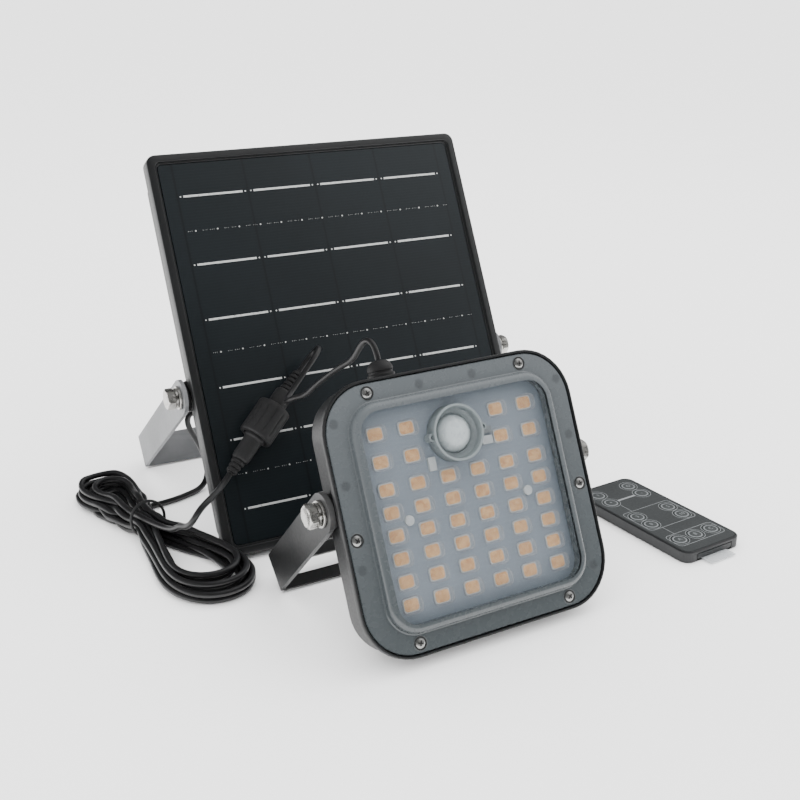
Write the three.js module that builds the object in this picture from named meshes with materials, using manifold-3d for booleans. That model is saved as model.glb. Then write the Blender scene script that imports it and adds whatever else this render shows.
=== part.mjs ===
// Solar flood light set: a framed solar panel on a folding U bracket, a square flood lamp
// on a second U bracket, the cord that joins them (tied in a hank, with a screw-collar
// waterproof connector), and a slim infrared remote.
// Units are millimetres, +Z is up, fronts face -Y, and everything stands on z = 0.

import * as THREE from 'three';
import { mergeVertices } from 'three/addons/utils/BufferGeometryUtils.js';
import Module from 'manifold-3d';

const wasm = await Module();
wasm.setup();

// ---------------------------------------------------------------- driving dimensions

const GAP = 0.3; // clearance kept between touching pieces
const degrees = (angle) => angle * Math.PI / 180;

// The middle of the set's footprint, which becomes the origin.
const ORIGIN_X = 26.34;
const ORIGIN_Y = -39.87;

// The panel's frame is its full-size front flange; a narrower tub stands behind it.
const PANEL = { width: 182, height: 212, flange: 9, corner: 5, rim: 5.2, lean: degrees(28.5) };
const PANEL_TUB = { width: 176, height: 192, back: 22 };
const PANEL_PIVOT = { up: -19.8, back: 13.6, side: 91 };
const PANEL_BRACKET = { strip: 18.5, sheet: 2, reach: 110, pad: 2 };

// The lamp's rim overhangs its body all round.
const LAMP_RIM = { width: 131, height: 123, corner: 24, front: -3.6, back: -7.2 };
const LAMP = { width: 125, height: 119, corner: 21, depth: 24, lean: degrees(25.5) };
const LAMP_PLACE = { x: -7.4, y: -150.9, yaw: degrees(2.8) };
const LAMP_PIVOT = { up: 8.5, back: 17.3, side: LAMP.width / 2 };
const LAMP_BRACKET = { strip: 18.5, sheet: 2.5, reach: 79, pad: 2.7 };

const BOLT = { shank: 2.95, hole: 3.25, acrossFlats: 10, headHeight: 4.2 };
const PAD_RADIUS = 7.8;

const LAMP_GLAND = { x: -25.8, back: 15.2 };
const COVER = { width: 127.4, height: 119.4, corner: 22.3, low: -5.8, high: -4.1 };

const LED_COLUMN_PITCH = 15.84;
const LED_ROWS = [37.1, 24.6, 12.2, 2.0, -8.2, -18.4, -28.6, -38.8];
const BOARD_TOP = -6.9; // depth of the LED board's face behind the lamp's rim
const PIR = { x: -1.5, y: 30.3, wellOuter: 12.9, wellInner: 11.7, dome: 8.7 };
const COVER_SCREWS = [
  [-40.3, 55.4], [40.3, 55.4], [-59.6, -5.7], [59.6, -5.7], [-40.3, -55.4], [40.3, -55.4],
];

const REMOTE = { length: 86, width: 40, height: 6.4, corner: 5.5 };
const REMOTE_PLACE = { x: 131, y: -110, yaw: degrees(-83.6) };
const KEY = { radius: 4.5, travel: 0.4 };
const KEYS = [
  [-32.8, -11.4], [-32.8, 11.4], [-22.2, -11.4], [-22.2, 11.4], [-1.8, -11.4], [-1.8, 11.4],
  [8.6, -11.4], [8.6, 11.4], [29.2, -11.4], [29.2, 0], [29.2, 11.4],
];

const CORD = { radius: 1.6, leadRadius: 1.4 };
const HANK_HEIGHT = 24;

// ---------------------------------------------------------------- materials

const material = (color, roughness, metalness = 0, opacity = 1) =>
  new THREE.MeshStandardMaterial({ color, roughness, metalness, opacity, transparent: opacity < 1 });

const blackPlastic = material(0x141516, 0.5);
const cellBlue = material(0x06080b, 0.3);
const clearGlass = material(0x20262b, 0.08, 0, 0.35);
const greySteel = material(0x707374, 0.45, 0.6);
const blackSteel = material(0x101112, 0.45, 0.4);
const brightZinc = material(0xc9c9c4, 0.25, 1);
const blackRubber = material(0x0d0d0e, 0.75);
const smokedCover = material(0x6b7278, 0.3, 0, 0.5);
const boardWhite = material(0xaeb8c2, 0.6);
const ledLens = material(0xe8dccb, 0.25, 0, 0.6);
const domeWhite = material(0xc4cbcf, 0.4);
const batteryBlue = material(0x2b5f9e, 0.4);
const boardGreen = material(0x1f5a38, 0.55);
const remoteGrey = material(0x2c2f31, 0.6);
const cellSteel = material(0xb8bab8, 0.3, 1);
const tabClear = material(0xb9bdbf, 0.3, 0, 0.5);

// ---------------------------------------------------------------- shapes and solids

function roundedRect(width, height, radius, centreX = 0, centreY = 0) {
  const w = width / 2 - radius;
  const h = height / 2 - radius;
  const shape = new THREE.Shape();
  shape.absarc(centreX + w, centreY - h, radius, -Math.PI / 2, 0, false);
  shape.absarc(centreX + w, centreY + h, radius, 0, Math.PI / 2, false);
  shape.absarc(centreX - w, centreY + h, radius, Math.PI / 2, Math.PI, false);
  shape.absarc(centreX - w, centreY - h, radius, Math.PI, Math.PI * 1.5, false);
  shape.closePath();
  return shape;
}

// A flat plate between two heights.
function slab(shape, low, high, segments = 6) {
  const geometry = new THREE.ExtrudeGeometry(shape, {
    depth: high - low, bevelEnabled: false, curveSegments: segments,
  });
  return geometry.translate(0, 0, low);
}

// A plate whose two rims are rounded off by `bevel`, outer size kept.
function softSlab(width, height, radius, low, high, bevel, segments = 6, steps = 2) {
  const inner = roundedRect(width - 2 * bevel, height - 2 * bevel, radius - bevel);
  const geometry = new THREE.ExtrudeGeometry(inner, {
    depth: high - low - 2 * bevel, bevelEnabled: true, bevelThickness: bevel,
    bevelSize: bevel, bevelSegments: steps, curveSegments: segments,
  });
  return geometry.translate(0, 0, low + bevel);
}

// A turned piece: `profile` lists [radius, height] pairs and starts and ends on the axis,
// or closes on itself for a ring. Its axis is Z.
function turned(profile, segments = 24) {
  const points = profile.map(([radius, height]) => new THREE.Vector2(radius, height));
  return new THREE.LatheGeometry(points, segments).rotateX(Math.PI / 2);
}

const rod = (radius, low, high, segments = 20) =>
  turned([[0, low], [radius, low], [radius, high], [0, high]], segments);

const ring = (outer, inner, low, high, segments = 24) =>
  turned([[inner, low], [outer, low], [outer, high], [inner, high], [inner, low]], segments);

const block = (x0, x1, y0, y1, z0, z1) =>
  new THREE.BoxGeometry(x1 - x0, y1 - y0, z1 - z0)
    .translate((x0 + x1) / 2, (y0 + y1) / 2, (z0 + z1) / 2);

function toSolid(geometry) {
  const bare = geometry.clone();
  bare.deleteAttribute('normal');
  bare.deleteAttribute('uv');
  const merged = mergeVertices(bare, 1e-4);
  const index = merged.getIndex().array;
  const triangles = [];
  for (let i = 0; i < index.length; i += 3) {
    const [a, b, c] = [index[i], index[i + 1], index[i + 2]];
    if (a !== b && b !== c && c !== a) triangles.push(a, b, c);
  }
  let solid = new wasm.Manifold(new wasm.Mesh({
    numProp: 3,
    vertProperties: new Float32Array(merged.getAttribute('position').array),
    triVerts: new Uint32Array(triangles),
  }));
  if (solid.volume() < 0) {
    for (let i = 0; i < triangles.length; i += 3) {
      [triangles[i + 1], triangles[i + 2]] = [triangles[i + 2], triangles[i + 1]];
    }
    solid = new wasm.Manifold(new wasm.Mesh({
      numProp: 3,
      vertProperties: new Float32Array(merged.getAttribute('position').array),
      triVerts: new Uint32Array(triangles),
    }));
  }
  return solid;
}

function toGeometry(solid) {
  const { vertProperties, triVerts } = solid.getMesh();
  const geometry = new THREE.BufferGeometry();
  geometry.setAttribute('position', new THREE.BufferAttribute(new Float32Array(vertProperties), 3));
  geometry.setIndex(new THREE.BufferAttribute(new Uint32Array(triVerts), 1));
  geometry.computeVertexNormals();
  return geometry;
}

// Joins every geometry in `added`, then cuts every geometry in `removed` from it.
function carve(added, removed = []) {
  let solid = toSolid(added[0]);
  for (const piece of added.slice(1)) solid = solid.add(toSolid(piece));
  for (const piece of removed) solid = solid.subtract(toSolid(piece));
  return toGeometry(solid);
}

const model = new THREE.Group();

function place(parent, name, geometry, surface) {
  const mesh = new THREE.Mesh(geometry, surface);
  mesh.name = name;
  parent.add(mesh);
  return mesh;
}

// The two blind holes that a unit's pivot bolts screw into.
const pivotHoles = (pivot) => [-1, 1].map((side) =>
  rod(BOLT.hole, pivot.side - 10.5, pivot.side + 1, 14).rotateY(side * Math.PI / 2)
    .translate(0, pivot.up, -pivot.back));

function lowestPoint(group) {
  group.updateMatrixWorld(true);
  return new THREE.Box3().setFromObject(group, true).min.z;
}

// ---------------------------------------------------------------- bolts, pads and U brackets

// Hex bolt with a captive flat washer and spring washer. Its axis is X; `face` is the
// bracket's outer face, `tip` is how far in the shank ends, `side` is -1 or 1.
function bolt(face, tip, side) {
  const flat = face + GAP;
  const spring = flat + 1.2;
  const head = spring + 1.7;
  const top = head + BOLT.headHeight;
  const turnedPart = turned([
    [0, tip], [BOLT.shank - 0.6, tip], [BOLT.shank, tip + 0.8], [BOLT.shank, flat], [6.2, flat],
    [6.2, spring], [3.6, spring], [3.6, spring + 0.25], [5.3, spring + 0.25], [5.3, head - 0.25],
    [3.6, head - 0.25], [3.6, head + 0.4], [0, head + 0.4],
  ], 14);
  const corner = BOLT.acrossFlats / Math.sqrt(3);
  const hexagon = new THREE.CylinderGeometry(corner, corner, top - head, 6)
    .rotateX(Math.PI / 2).rotateZ(Math.PI / 6).translate(0, 0, (head + top) / 2);
  const dome = turned([
    [0, head - 1], [corner + 0.4, head - 1], [corner + 0.4, top - 0.9], [corner - 1.1, top], [0, top],
  ], 12);
  const chamfered = toSolid(hexagon).intersect(toSolid(dome));
  return toGeometry(toSolid(turnedPart).add(chamfered)).rotateY(side * Math.PI / 2);
}

const pad = (inner, outer, side) =>
  ring(PAD_RADIUS, BOLT.hole + 0.1, inner + GAP, outer - GAP, 18).rotateY(side * Math.PI / 2);

// U bracket bent from flat strip. The pivot axis is X through the origin, the arms run
// along +Y, and the base lies across their ends at `reach`.
function uBracket({ strip, sheet, reach }, halfInside, slots) {
  const outside = halfInside + sheet;
  const bend = 4;
  const armEnd = -strip / 2;
  const profile = new THREE.Shape();
  profile.moveTo(-outside, armEnd);
  profile.lineTo(-outside + sheet, armEnd);
  profile.lineTo(-outside + sheet, reach - bend);
  profile.absarc(-outside + bend, reach - bend, bend - sheet, Math.PI, Math.PI / 2, true);
  profile.lineTo(outside - bend, reach - sheet);
  profile.absarc(outside - bend, reach - bend, bend - sheet, Math.PI / 2, 0, true);
  profile.lineTo(halfInside, armEnd);
  profile.lineTo(outside, armEnd);
  profile.lineTo(outside, reach - bend);
  profile.absarc(outside - bend, reach - bend, bend, 0, Math.PI / 2, false);
  profile.lineTo(-outside + bend, reach);
  profile.absarc(-outside + bend, reach - bend, bend, Math.PI / 2, Math.PI, false);
  profile.closePath();
  const bent = slab(profile, -strip / 2, strip / 2, 3);

  const outline = new THREE.Shape(); // side view: round around the pivot, square at the base
  outline.absarc(0, 0, strip / 2, Math.PI / 2, Math.PI * 1.5, false);
  outline.lineTo(reach + 1, -strip / 2);
  outline.lineTo(reach + 1, strip / 2);
  outline.closePath();
  const side = slab(outline, -outside - 1, outside + 1, 6);
  const toSideView = new THREE.Matrix4().makeBasis(
    new THREE.Vector3(0, 1, 0), new THREE.Vector3(0, 0, 1), new THREE.Vector3(1, 0, 0));
  side.applyMatrix4(toSideView);

  const pivots = rod(BOLT.hole, -outside - 1, outside + 1, 14).rotateY(Math.PI / 2);
  let solid = toSolid(bent).intersect(toSolid(side)).subtract(toSolid(pivots));
  for (const [from, to, width] of slots) {
    const opening = roundedRect(to - from, width, width / 2 - 0.01, (from + to) / 2);
    const slot = slab(opening, reach - 8, reach + 1, 3);
    const throughBase = new THREE.Matrix4().makeBasis(
      new THREE.Vector3(1, 0, 0), new THREE.Vector3(0, 0, -1), new THREE.Vector3(0, 1, 0));
    solid = solid.subtract(toSolid(slot.applyMatrix4(throughBase)));
  }
  return toGeometry(solid);
}

// The angle below horizontal at which a bracket's foot reaches the surface.
function footAngle(pivotHeight, { strip, reach }) {
  const diagonal = Math.hypot(reach, strip / 2);
  return Math.asin(pivotHeight / diagonal) - Math.atan2(strip / 2, reach);
}

// ---------------------------------------------------------------- solar panel

const panelGroup = new THREE.Group();
panelGroup.rotation.x = Math.PI / 2 - PANEL.lean;
model.add(panelGroup);

function buildPanel() {
  const { width, height, flange, corner, rim } = PANEL;
  const ledge = -3.2;
  const wall = 3;
  const opening = [width - 2 * rim, height - 2 * rim];
  const frame = softSlab(width, height, corner, -flange, 0, 1, 3, 1);
  const tub = softSlab(PANEL_TUB.width, PANEL_TUB.height, corner, -PANEL_TUB.back, -flange + 1, 1.6, 3, 1);
  const bosses = rod(PAD_RADIUS + 0.4, -PANEL_PIVOT.side, PANEL_PIVOT.side, 24).rotateY(Math.PI / 2)
    .translate(0, PANEL_PIVOT.up, -PANEL_PIVOT.back);
  place(panelGroup, 'panel_housing', carve([frame, tub, bosses], [
    slab(roundedRect(opening[0], opening[1], 2.5), ledge, 1, 2),
    slab(roundedRect(PANEL_TUB.width - 14, PANEL_TUB.height - 2 * wall, 2), wall - PANEL_TUB.back, 1, 2),
    rod(4, -PANEL_TUB.back - 1, 0, 12).translate(0, -36, 0),
    ...pivotHoles(PANEL_PIVOT),
  ]), blackPlastic);

  const glass = [opening[0] - 2 * GAP, opening[1] - 2 * GAP];
  place(panelGroup, 'solar_glass', slab(roundedRect(glass[0], glass[1], 2.2), ledge + GAP, -0.9, 3),
    clearGlass);
  place(panelGroup, 'cell_board',
    slab(roundedRect(PANEL_TUB.width - 14.6, PANEL_TUB.height - 2 * wall - 0.6, 1.7),
      ledge - 0.8, ledge, 3),
    cellBlue);

  // Junction box on the back, with its cable gland pointing to the panel's left.
  const back = -PANEL_TUB.back - GAP;
  place(panelGroup, 'panel_junction_box', softSlab(58, 34, 4, back - 14, back, 1, 3)
    .translate(-8, -36, 0), blackPlastic);
  const gland = turned([
    [0, 0], [5.5, 0], [5.5, 3.6], [4.6, 4], [4.6, 9], [3.4, 11], [2.2, 11], [2.2, 11 - 4], [0, 11 - 4],
  ], 16);
  place(panelGroup, 'panel_cable_gland', gland.rotateY(-Math.PI / 2)
    .translate(-37 - GAP, -36, back - 7), blackPlastic);
}
buildPanel();
panelGroup.position.z = -lowestPoint(panelGroup);

function addPivotHardware(parent, pivot, bracket, names) {
  for (const [side, label] of [[-1, 'left'], [1, 'right']]) {
    const padOuter = pivot.side + bracket.pad;
    const boltMesh = place(parent, `${names}_bolt_${label}`,
      bolt(padOuter + bracket.sheet, pivot.side - 9, side), brightZinc);
    const padMesh = place(parent, `${names}_pad_${label}`, pad(pivot.side, padOuter, side), blackRubber);
    for (const mesh of [boltMesh, padMesh]) mesh.position.set(0, pivot.up, -pivot.back);
  }
}
addPivotHardware(panelGroup, PANEL_PIVOT, PANEL_BRACKET, 'panel');

// A bracket stands in the frame that its assembly stands in, turned down to the surface.
function addBracket(frameGroup, leaningGroup, pivot, bracket, slots, name, surface) {
  leaningGroup.updateMatrix();
  const axisPoint = new THREE.Vector3(0, pivot.up, -pivot.back).applyMatrix4(leaningGroup.matrix);
  const mesh = place(frameGroup, name, uBracket(bracket, pivot.side + bracket.pad, slots), surface);
  mesh.position.copy(axisPoint);
  mesh.rotation.x = -footAngle(axisPoint.z, bracket);
}
addBracket(model, panelGroup, PANEL_PIVOT, PANEL_BRACKET,
  [[-4, 4, 8], [-52, -18, 7], [18, 52, 7]], 'panel_bracket', greySteel);

// ---------------------------------------------------------------- flood lamp

const lampStand = new THREE.Group();
lampStand.position.set(LAMP_PLACE.x, LAMP_PLACE.y, 0);
lampStand.rotation.z = LAMP_PLACE.yaw;
model.add(lampStand);
const lampGroup = new THREE.Group();
lampGroup.rotation.x = Math.PI / 2 - LAMP.lean;
lampStand.add(lampGroup);

function buildLampHousing() {
  const { width, height, corner, depth } = LAMP;
  const { front, back } = LAMP_RIM;
  const rimBand = softSlab(LAMP_RIM.width, LAMP_RIM.height, LAMP_RIM.corner, back, front, 0.4, 5, 1);
  const body = softSlab(width, height, corner, -depth, back + 1, 2.4, 5, 1);
  const bulge = softSlab(98, 90, 12, -31.5, -15, 2.4, 3, 1);
  const screwHoles = COVER_SCREWS.map(([x, y]) => rod(1.6, -16.6, 1, 8).translate(x, y, 0));
  place(lampGroup, 'lamp_housing', carve([rimBand, body, bulge], [
    slab(roundedRect(LAMP_RIM.width - 2.6, LAMP_RIM.height - 2.6, LAMP_RIM.corner - 1.3), back + 0.2, 1, 5),
    slab(roundedRect(103, 100.4, 11), BOARD_TOP - 1.9, 1, 3),
    slab(roundedRect(90, 82, 8), -28.6, 1, 2),
    rod(2.6, 40, 70, 12).rotateX(-Math.PI / 2).translate(LAMP_GLAND.x, 0, -LAMP_GLAND.back),
    ...pivotHoles(LAMP_PIVOT), ...screwHoles,
  ]), blackPlastic);
}

function buildLampCover() {
  const { low, high } = COVER;
  const sealOuter = slab(roundedRect(112.4, 105.4, 15), low - 0.9, low - 0.3, 3);
  const sealInner = slab(roundedRect(105, 101, 12), low - 2, low + 1, 3);
  place(lampGroup, 'cover_gasket', carve([sealOuter], [sealInner]), blackRubber);

  const border = softSlab(COVER.width, COVER.height, COVER.corner, low, high, 0.5, 5, 1);
  const window = softSlab(106, 102, 14, low, 0, 2.6, 4, 3);
  const hollow = slab(roundedRect(98.6, 94.6, 10), low - 1, -1.8, 3);
  const counterbores = COVER_SCREWS.map(([x, y]) => rod(3.1, high - 1.2, 2, 10).translate(x, y, 0));
  const holes = COVER_SCREWS.map(([x, y]) => rod(1.7, low - 1, 1, 8).translate(x, y, 0));
  place(lampGroup, 'front_cover', carve([border, window], [
    rod(PIR.wellOuter + GAP, -7, 4, 20).translate(PIR.x, PIR.y, 0), hollow, ...counterbores, ...holes,
  ]), smokedCover);

  COVER_SCREWS.forEach(([x, y], i) => {
    const screw = turned([
      [0, -15.1], [1.3, -15.1], [1.3, -5], [2.3, -5], [2.3, -4.1], [1.5, -3.5], [0, -3.5],
    ], 10);
    place(lampGroup, `cover_screw_${i + 1}`, screw, brightZinc).position.set(x, y, 0);
  });
}

// Grid places that hold an LED: the two middle columns give way to the motion sensor.
function ledPlaces() {
  const places = [];
  for (let column = 0; column < 6; column += 1) {
    LED_ROWS.forEach((y, row) => {
      const sensorHere = row < 2 && (column === 2 || column === 3);
      if (!sensorHere) places.push([(column - 2.5) * LED_COLUMN_PITCH, y]);
    });
  }
  return places;
}

function buildLampInside() {
  const board = slab(roundedRect(102.2, 99.6, 10.5), BOARD_TOP - 1.6, BOARD_TOP, 3);
  const leds = ledPlaces().map(([x, y]) =>
    block(x - 3, x + 3, y - 2.2, y + 2.2, BOARD_TOP - 0.4, BOARD_TOP + 0.7));
  place(lampGroup, 'led_board', carve([board, ...leds]), boardWhite);

  const sheetLow = BOARD_TOP + 0.7 + GAP;
  const pillows = ledPlaces().map(([x, y]) =>
    slab(roundedRect(9.2, 7.2, 2.2, x, y), sheetLow + 0.1, sheetLow + 2, 1));
  place(lampGroup, 'lens_sheet', carve([
    slab(roundedRect(96.4, 92.4, 9), sheetLow, sheetLow + 0.7, 3), ...pillows,
  ], [rod(PIR.wellOuter + GAP, -9, 0, 20).translate(PIR.x, PIR.y, 0)]), ledLens);

  // Motion sensor: an open well down to the board, with a low dome at the bottom.
  const floor = BOARD_TOP + GAP;
  const well = turned([
    [PIR.dome + GAP, floor], [PIR.wellOuter, floor], [PIR.wellOuter, 0.5], [PIR.wellOuter - 0.6, 0.8],
    [PIR.wellInner, 0.5], [PIR.wellInner, floor + 1.2], [PIR.dome + GAP, floor + 1.2],
    [PIR.dome + GAP, floor],
  ], 20);
  place(lampGroup, 'pir_well', well, domeWhite).position.set(PIR.x, PIR.y, 0);
  const dome = turned([
    [0, floor], [PIR.dome, floor], [PIR.dome, floor + 1.4], [PIR.dome * 0.93, floor + 3.2],
    [PIR.dome * 0.74, floor + 4.8], [PIR.dome * 0.42, floor + 5.9], [0, floor + 6.2],
  ], 20);
  place(lampGroup, 'pir_dome', dome, domeWhite).position.set(PIR.x, PIR.y, 0);

  // Two lithium cells in one wrapped pack, and the charge controller above them.
  const packTop = BOARD_TOP - 1.9 - GAP;
  const cells = [-9.4, 9.4].map((y) => rod(9.2, -32.5, 32.5, 16).rotateY(Math.PI / 2)
    .translate(0, y - 14, packTop - 9.3));
  const wrap = block(-31, 31, -23.4, -4.6, packTop - 17, packTop - 1.6);
  place(lampGroup, 'battery_pack', carve([cells[0], cells[1], wrap]), batteryBlue);
  const controller = block(-34, 34, 8, 36, packTop - 12, packTop - 10.4);
  const chips = [
    block(-20, -10, 14, 24, packTop - 10.5, packTop - 8.4),
    block(2, 9, 16, 26, packTop - 10.5, packTop - 5),
    block(18, 28, 20, 32, packTop - 10.5, packTop - 3),
  ];
  place(lampGroup, 'control_board', carve([controller, ...chips]), boardGreen);
}

function buildLampBack() {
  place(lampGroup, 'rear_cover', softSlab(76, 66, 6, -34.2, -31.5 - GAP, 0.8, 3, 1), blackPlastic);
  const gland = turned([
    [0, 0], [6.4, 0], [6.4, 3.4], [5.5, 3.8], [5.5, 6.4], [4.9, 8.2], [3.4, 9.3], [1.9, 9.5],
    [1.9, 5], [0, 5],
  ], 14);
  place(lampGroup, 'lamp_cable_gland', gland.rotateX(-Math.PI / 2), blackPlastic)
    .position.set(LAMP_GLAND.x, LAMP.height / 2 + GAP, -LAMP_GLAND.back);
}
buildLampHousing();
buildLampCover();
buildLampInside();
buildLampBack();
lampGroup.position.z = -lowestPoint(lampGroup);
addPivotHardware(lampGroup, LAMP_PIVOT, LAMP_BRACKET, 'lamp');
addBracket(lampStand, lampGroup, LAMP_PIVOT, LAMP_BRACKET,
  [[-58, -14, 7], [-3.5, 3.5, 7], [14, 58, 7]], 'lamp_bracket', blackSteel);

// ---------------------------------------------------------------- cord, hank and connector

// Places on the cord are given in the leaning panel's own directions: across its face,
// up its face, and out from its face.
function facePoint(across, up, out) {
  panelGroup.updateMatrix();
  return new THREE.Vector3(across, up, out).applyMatrix4(panelGroup.matrix);
}

// A round cord as one smooth curve through its points.
function cordTube(points, radius, steps) {
  const path = new THREE.CatmullRomCurve3(points, false, 'centripetal');
  const section = new THREE.Shape();
  for (let side = 0; side < 8; side += 1) {
    const angle = side * Math.PI / 4;
    const point = [radius * Math.cos(angle), radius * Math.sin(angle)];
    if (side === 0) section.moveTo(...point);
    else section.lineTo(...point);
  }
  section.closePath();
  return new THREE.ExtrudeGeometry(section, { steps, bevelEnabled: false, extrudePath: path });
}

const point = (x, y, z) => new THREE.Vector3(x, y, z);

// Connector: its axis lies along the panel's face, resting on the glass.
const CONNECTOR = { across: -59.0, up: -41.6, out: 7.4, turn: degrees(46.4) };
const connectorPoint = (along, lift = 0) => facePoint(
  CONNECTOR.across + along * Math.sin(CONNECTOR.turn),
  CONNECTOR.up + along * Math.cos(CONNECTOR.turn), CONNECTOR.out + lift);

function buildConnector() {
  const frameGroup = new THREE.Group();
  frameGroup.position.set(CONNECTOR.across, CONNECTOR.up, CONNECTOR.out);
  frameGroup.rotation.z = -CONNECTOR.turn;
  panelGroup.add(frameGroup);
  const alongY = (geometry) => geometry.rotateX(-Math.PI / 2);

  const socket = turned([
    [0, -33], [2.6, -33], [3.9, -32], [3.9, -30.6], [2.9, -30.4], [2.9, -29.6], [4.1, -29.4], [4.1, -28],
    [3, -27.8], [3, -27], [4.6, -25.8], [4.8, -12], [6, -11], [6, -0.4], [4, -0.4], [4, 3], [0, 3],
  ], 14);
  place(frameGroup, 'connector_socket', alongY(socket), blackRubber);
  const plug = turned([
    [0, 3 + GAP], [4 + GAP, 3 + GAP], [4 + GAP, 0], [6, 0], [6, 6.6], [5, 7], [5, 18.6], [4.3, 19.6],
    [4.1, 21.5], [3.4, 21.7], [3.4, 22.7], [3.9, 22.9], [3.7, 25], [3, 25.2], [3, 26.2], [3.5, 26.4],
    [3.2, 28.5], [2.6, 28.7], [2.6, 29.7], [3, 29.9], [2.4, 32.5], [0, 32.5],
  ], 14);
  place(frameGroup, 'connector_plug', alongY(plug), blackRubber);

  const collar = ring(8, 6 + GAP, -10.4, 9, 18);
  const grooves = Array.from({ length: 12 }, (_, i) => block(-0.5, 0.5, 7.5, 9, -8.6, 6)
    .rotateZ(i * Math.PI / 6));
  place(frameGroup, 'collar_nut', alongY(carve([collar], grooves)), blackRubber);
}
buildConnector();

// Hank: a waisted outline on the surface beside the panel, with a groove for its tie.
const HANK = { from: point(-104, -93, 0), to: point(-129, 76, 0) };
const hankDirection = HANK.to.clone().sub(HANK.from).normalize();
const hankLength = HANK.to.distanceTo(HANK.from);
const hankGroup = new THREE.Group();
hankGroup.position.copy(HANK.from);
hankGroup.rotation.z = Math.atan2(hankDirection.y, hankDirection.x);
model.add(hankGroup);

// Half width of the hank along its length: two lobes and a waist where the tie sits.
const TIE_ALONG = 92;
function buildHank() {
  const frontLobe = { x: 33, r: 20 };
  const backLobe = { x: hankLength - 24, r: 17.5 };
  const waist = 11;
  const outline = new THREE.Shape();
  outline.absarc(frontLobe.x, 0, frontLobe.r, Math.PI * 0.72, Math.PI * 1.28, false);
  outline.splineThru([
    new THREE.Vector2(45, -16.5), new THREE.Vector2(70, -12.5), new THREE.Vector2(TIE_ALONG, -waist),
    new THREE.Vector2(115, -12.5), new THREE.Vector2(backLobe.x - 8, -16),
  ]);
  outline.absarc(backLobe.x, 0, backLobe.r, -Math.PI * 0.45, Math.PI * 0.45, false);
  outline.splineThru([
    new THREE.Vector2(backLobe.x - 8, 16), new THREE.Vector2(115, 12.5),
    new THREE.Vector2(TIE_ALONG, waist), new THREE.Vector2(70, 14), new THREE.Vector2(45, 19.6),
  ]);
  outline.closePath();
  const groove = ring(40, 8.7, TIE_ALONG - 2.2, TIE_ALONG + 2.2, 20).rotateY(Math.PI / 2)
    .translate(0, 0, 10.4);
  place(hankGroup, 'cord_hank', carve([slab(outline, 0, HANK_HEIGHT, 3)], [groove]), blackRubber);
  place(hankGroup, 'hank_tie', ring(10.3, 8.7 + GAP, TIE_ALONG - 1.4, TIE_ALONG + 1.4, 20)
    .rotateY(Math.PI / 2).translate(0, 0, 10.4), blackRubber);
}
buildHank();

function buildCords() {
  panelGroup.updateMatrix();
  const glandEnd = facePoint(-37 - GAP - 11 - GAP, -36, -PANEL_TUB.back - GAP - 7);
  place(model, 'panel_cord', cordTube([
    glandEnd, glandEnd.clone().add(point(-7, 0, 0)), point(-65, 11, 53), point(-74, 18, 55.6),
    point(-80.6, 24, 55.6), point(-83.6, 28.6, 51.5), point(-82.8, 31.4, 45), point(-79.6, 33.8, 38),
    point(-76, 36.6, 31), point(-71.6, 41, 21), point(-69.4, 43.6, 13.6), point(-69.2, 43.7, 8),
    point(-71.2, 42, 3.6), point(-75.6, 39.2, 1.7), point(-82, 35.8, 1.65), point(-92, 32, 1.65),
    point(-107.6, 29.4, 1.65),
  ], CORD.radius, 38), blackRubber);

  place(model, 'riser_cord', cordTube([
    point(-109, -53, HANK_HEIGHT + GAP), point(-109, -53, 25.5), point(-108.4, -53.2, 30),
    point(-105.3, -53, 35), point(-99.5, -49.8, 37.4), point(-94, -44.8, 38), connectorPoint(-40.5),
    connectorPoint(-37), connectorPoint(-33 - GAP),
  ], CORD.radius, 14), blackRubber);

  const glandTop = LAMP.height / 2 + 9.5 + 2 * GAP;
  const glandMouth = lampStand.localToWorld(
    point(LAMP_GLAND.x, glandTop, -LAMP_GLAND.back).applyMatrix4(lampGroup.matrix));
  const upFromGland = (step) => {
    const direction = point(0, Math.sin(LAMP.lean), Math.cos(LAMP.lean));
    direction.applyAxisAngle(point(0, 0, 1), LAMP_PLACE.yaw);
    return glandMouth.clone().addScaledVector(direction, step);
  };
  place(model, 'lamp_lead', cordTube([
    connectorPoint(32.5 + GAP), connectorPoint(37), connectorPoint(40.4, 0.1), connectorPoint(44.8, 2),
    connectorPoint(47.2, 7.2), connectorPoint(44.6, 12), connectorPoint(39, 13.8),
    connectorPoint(30, 13.8), connectorPoint(18.5, 13.8), connectorPoint(11.6, 15.2),
    connectorPoint(8.2, 20.5), connectorPoint(9.8, 26), facePoint(-47.6, -35.4, 38.5),
    facePoint(-44.6, -32.6, 48), facePoint(-42, -30.2, 60), facePoint(-40.2, -28.6, 74),
    facePoint(-38.6, -27.6, 86), facePoint(-36.9, -22.2, 97.3), facePoint(-36.3, -21.6, 101.5),
    facePoint(-35.6, -24.4, 105.3), upFromGland(4.2), upFromGland(0),
  ], CORD.leadRadius, 46), blackRubber);
}
lampStand.updateMatrixWorld(true);
lampGroup.updateMatrix();
buildCords();

// ---------------------------------------------------------------- remote control

const remoteGroup = new THREE.Group();
remoteGroup.position.set(REMOTE_PLACE.x, REMOTE_PLACE.y, 0);
remoteGroup.rotation.z = REMOTE_PLACE.yaw;
model.add(remoteGroup);

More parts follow.
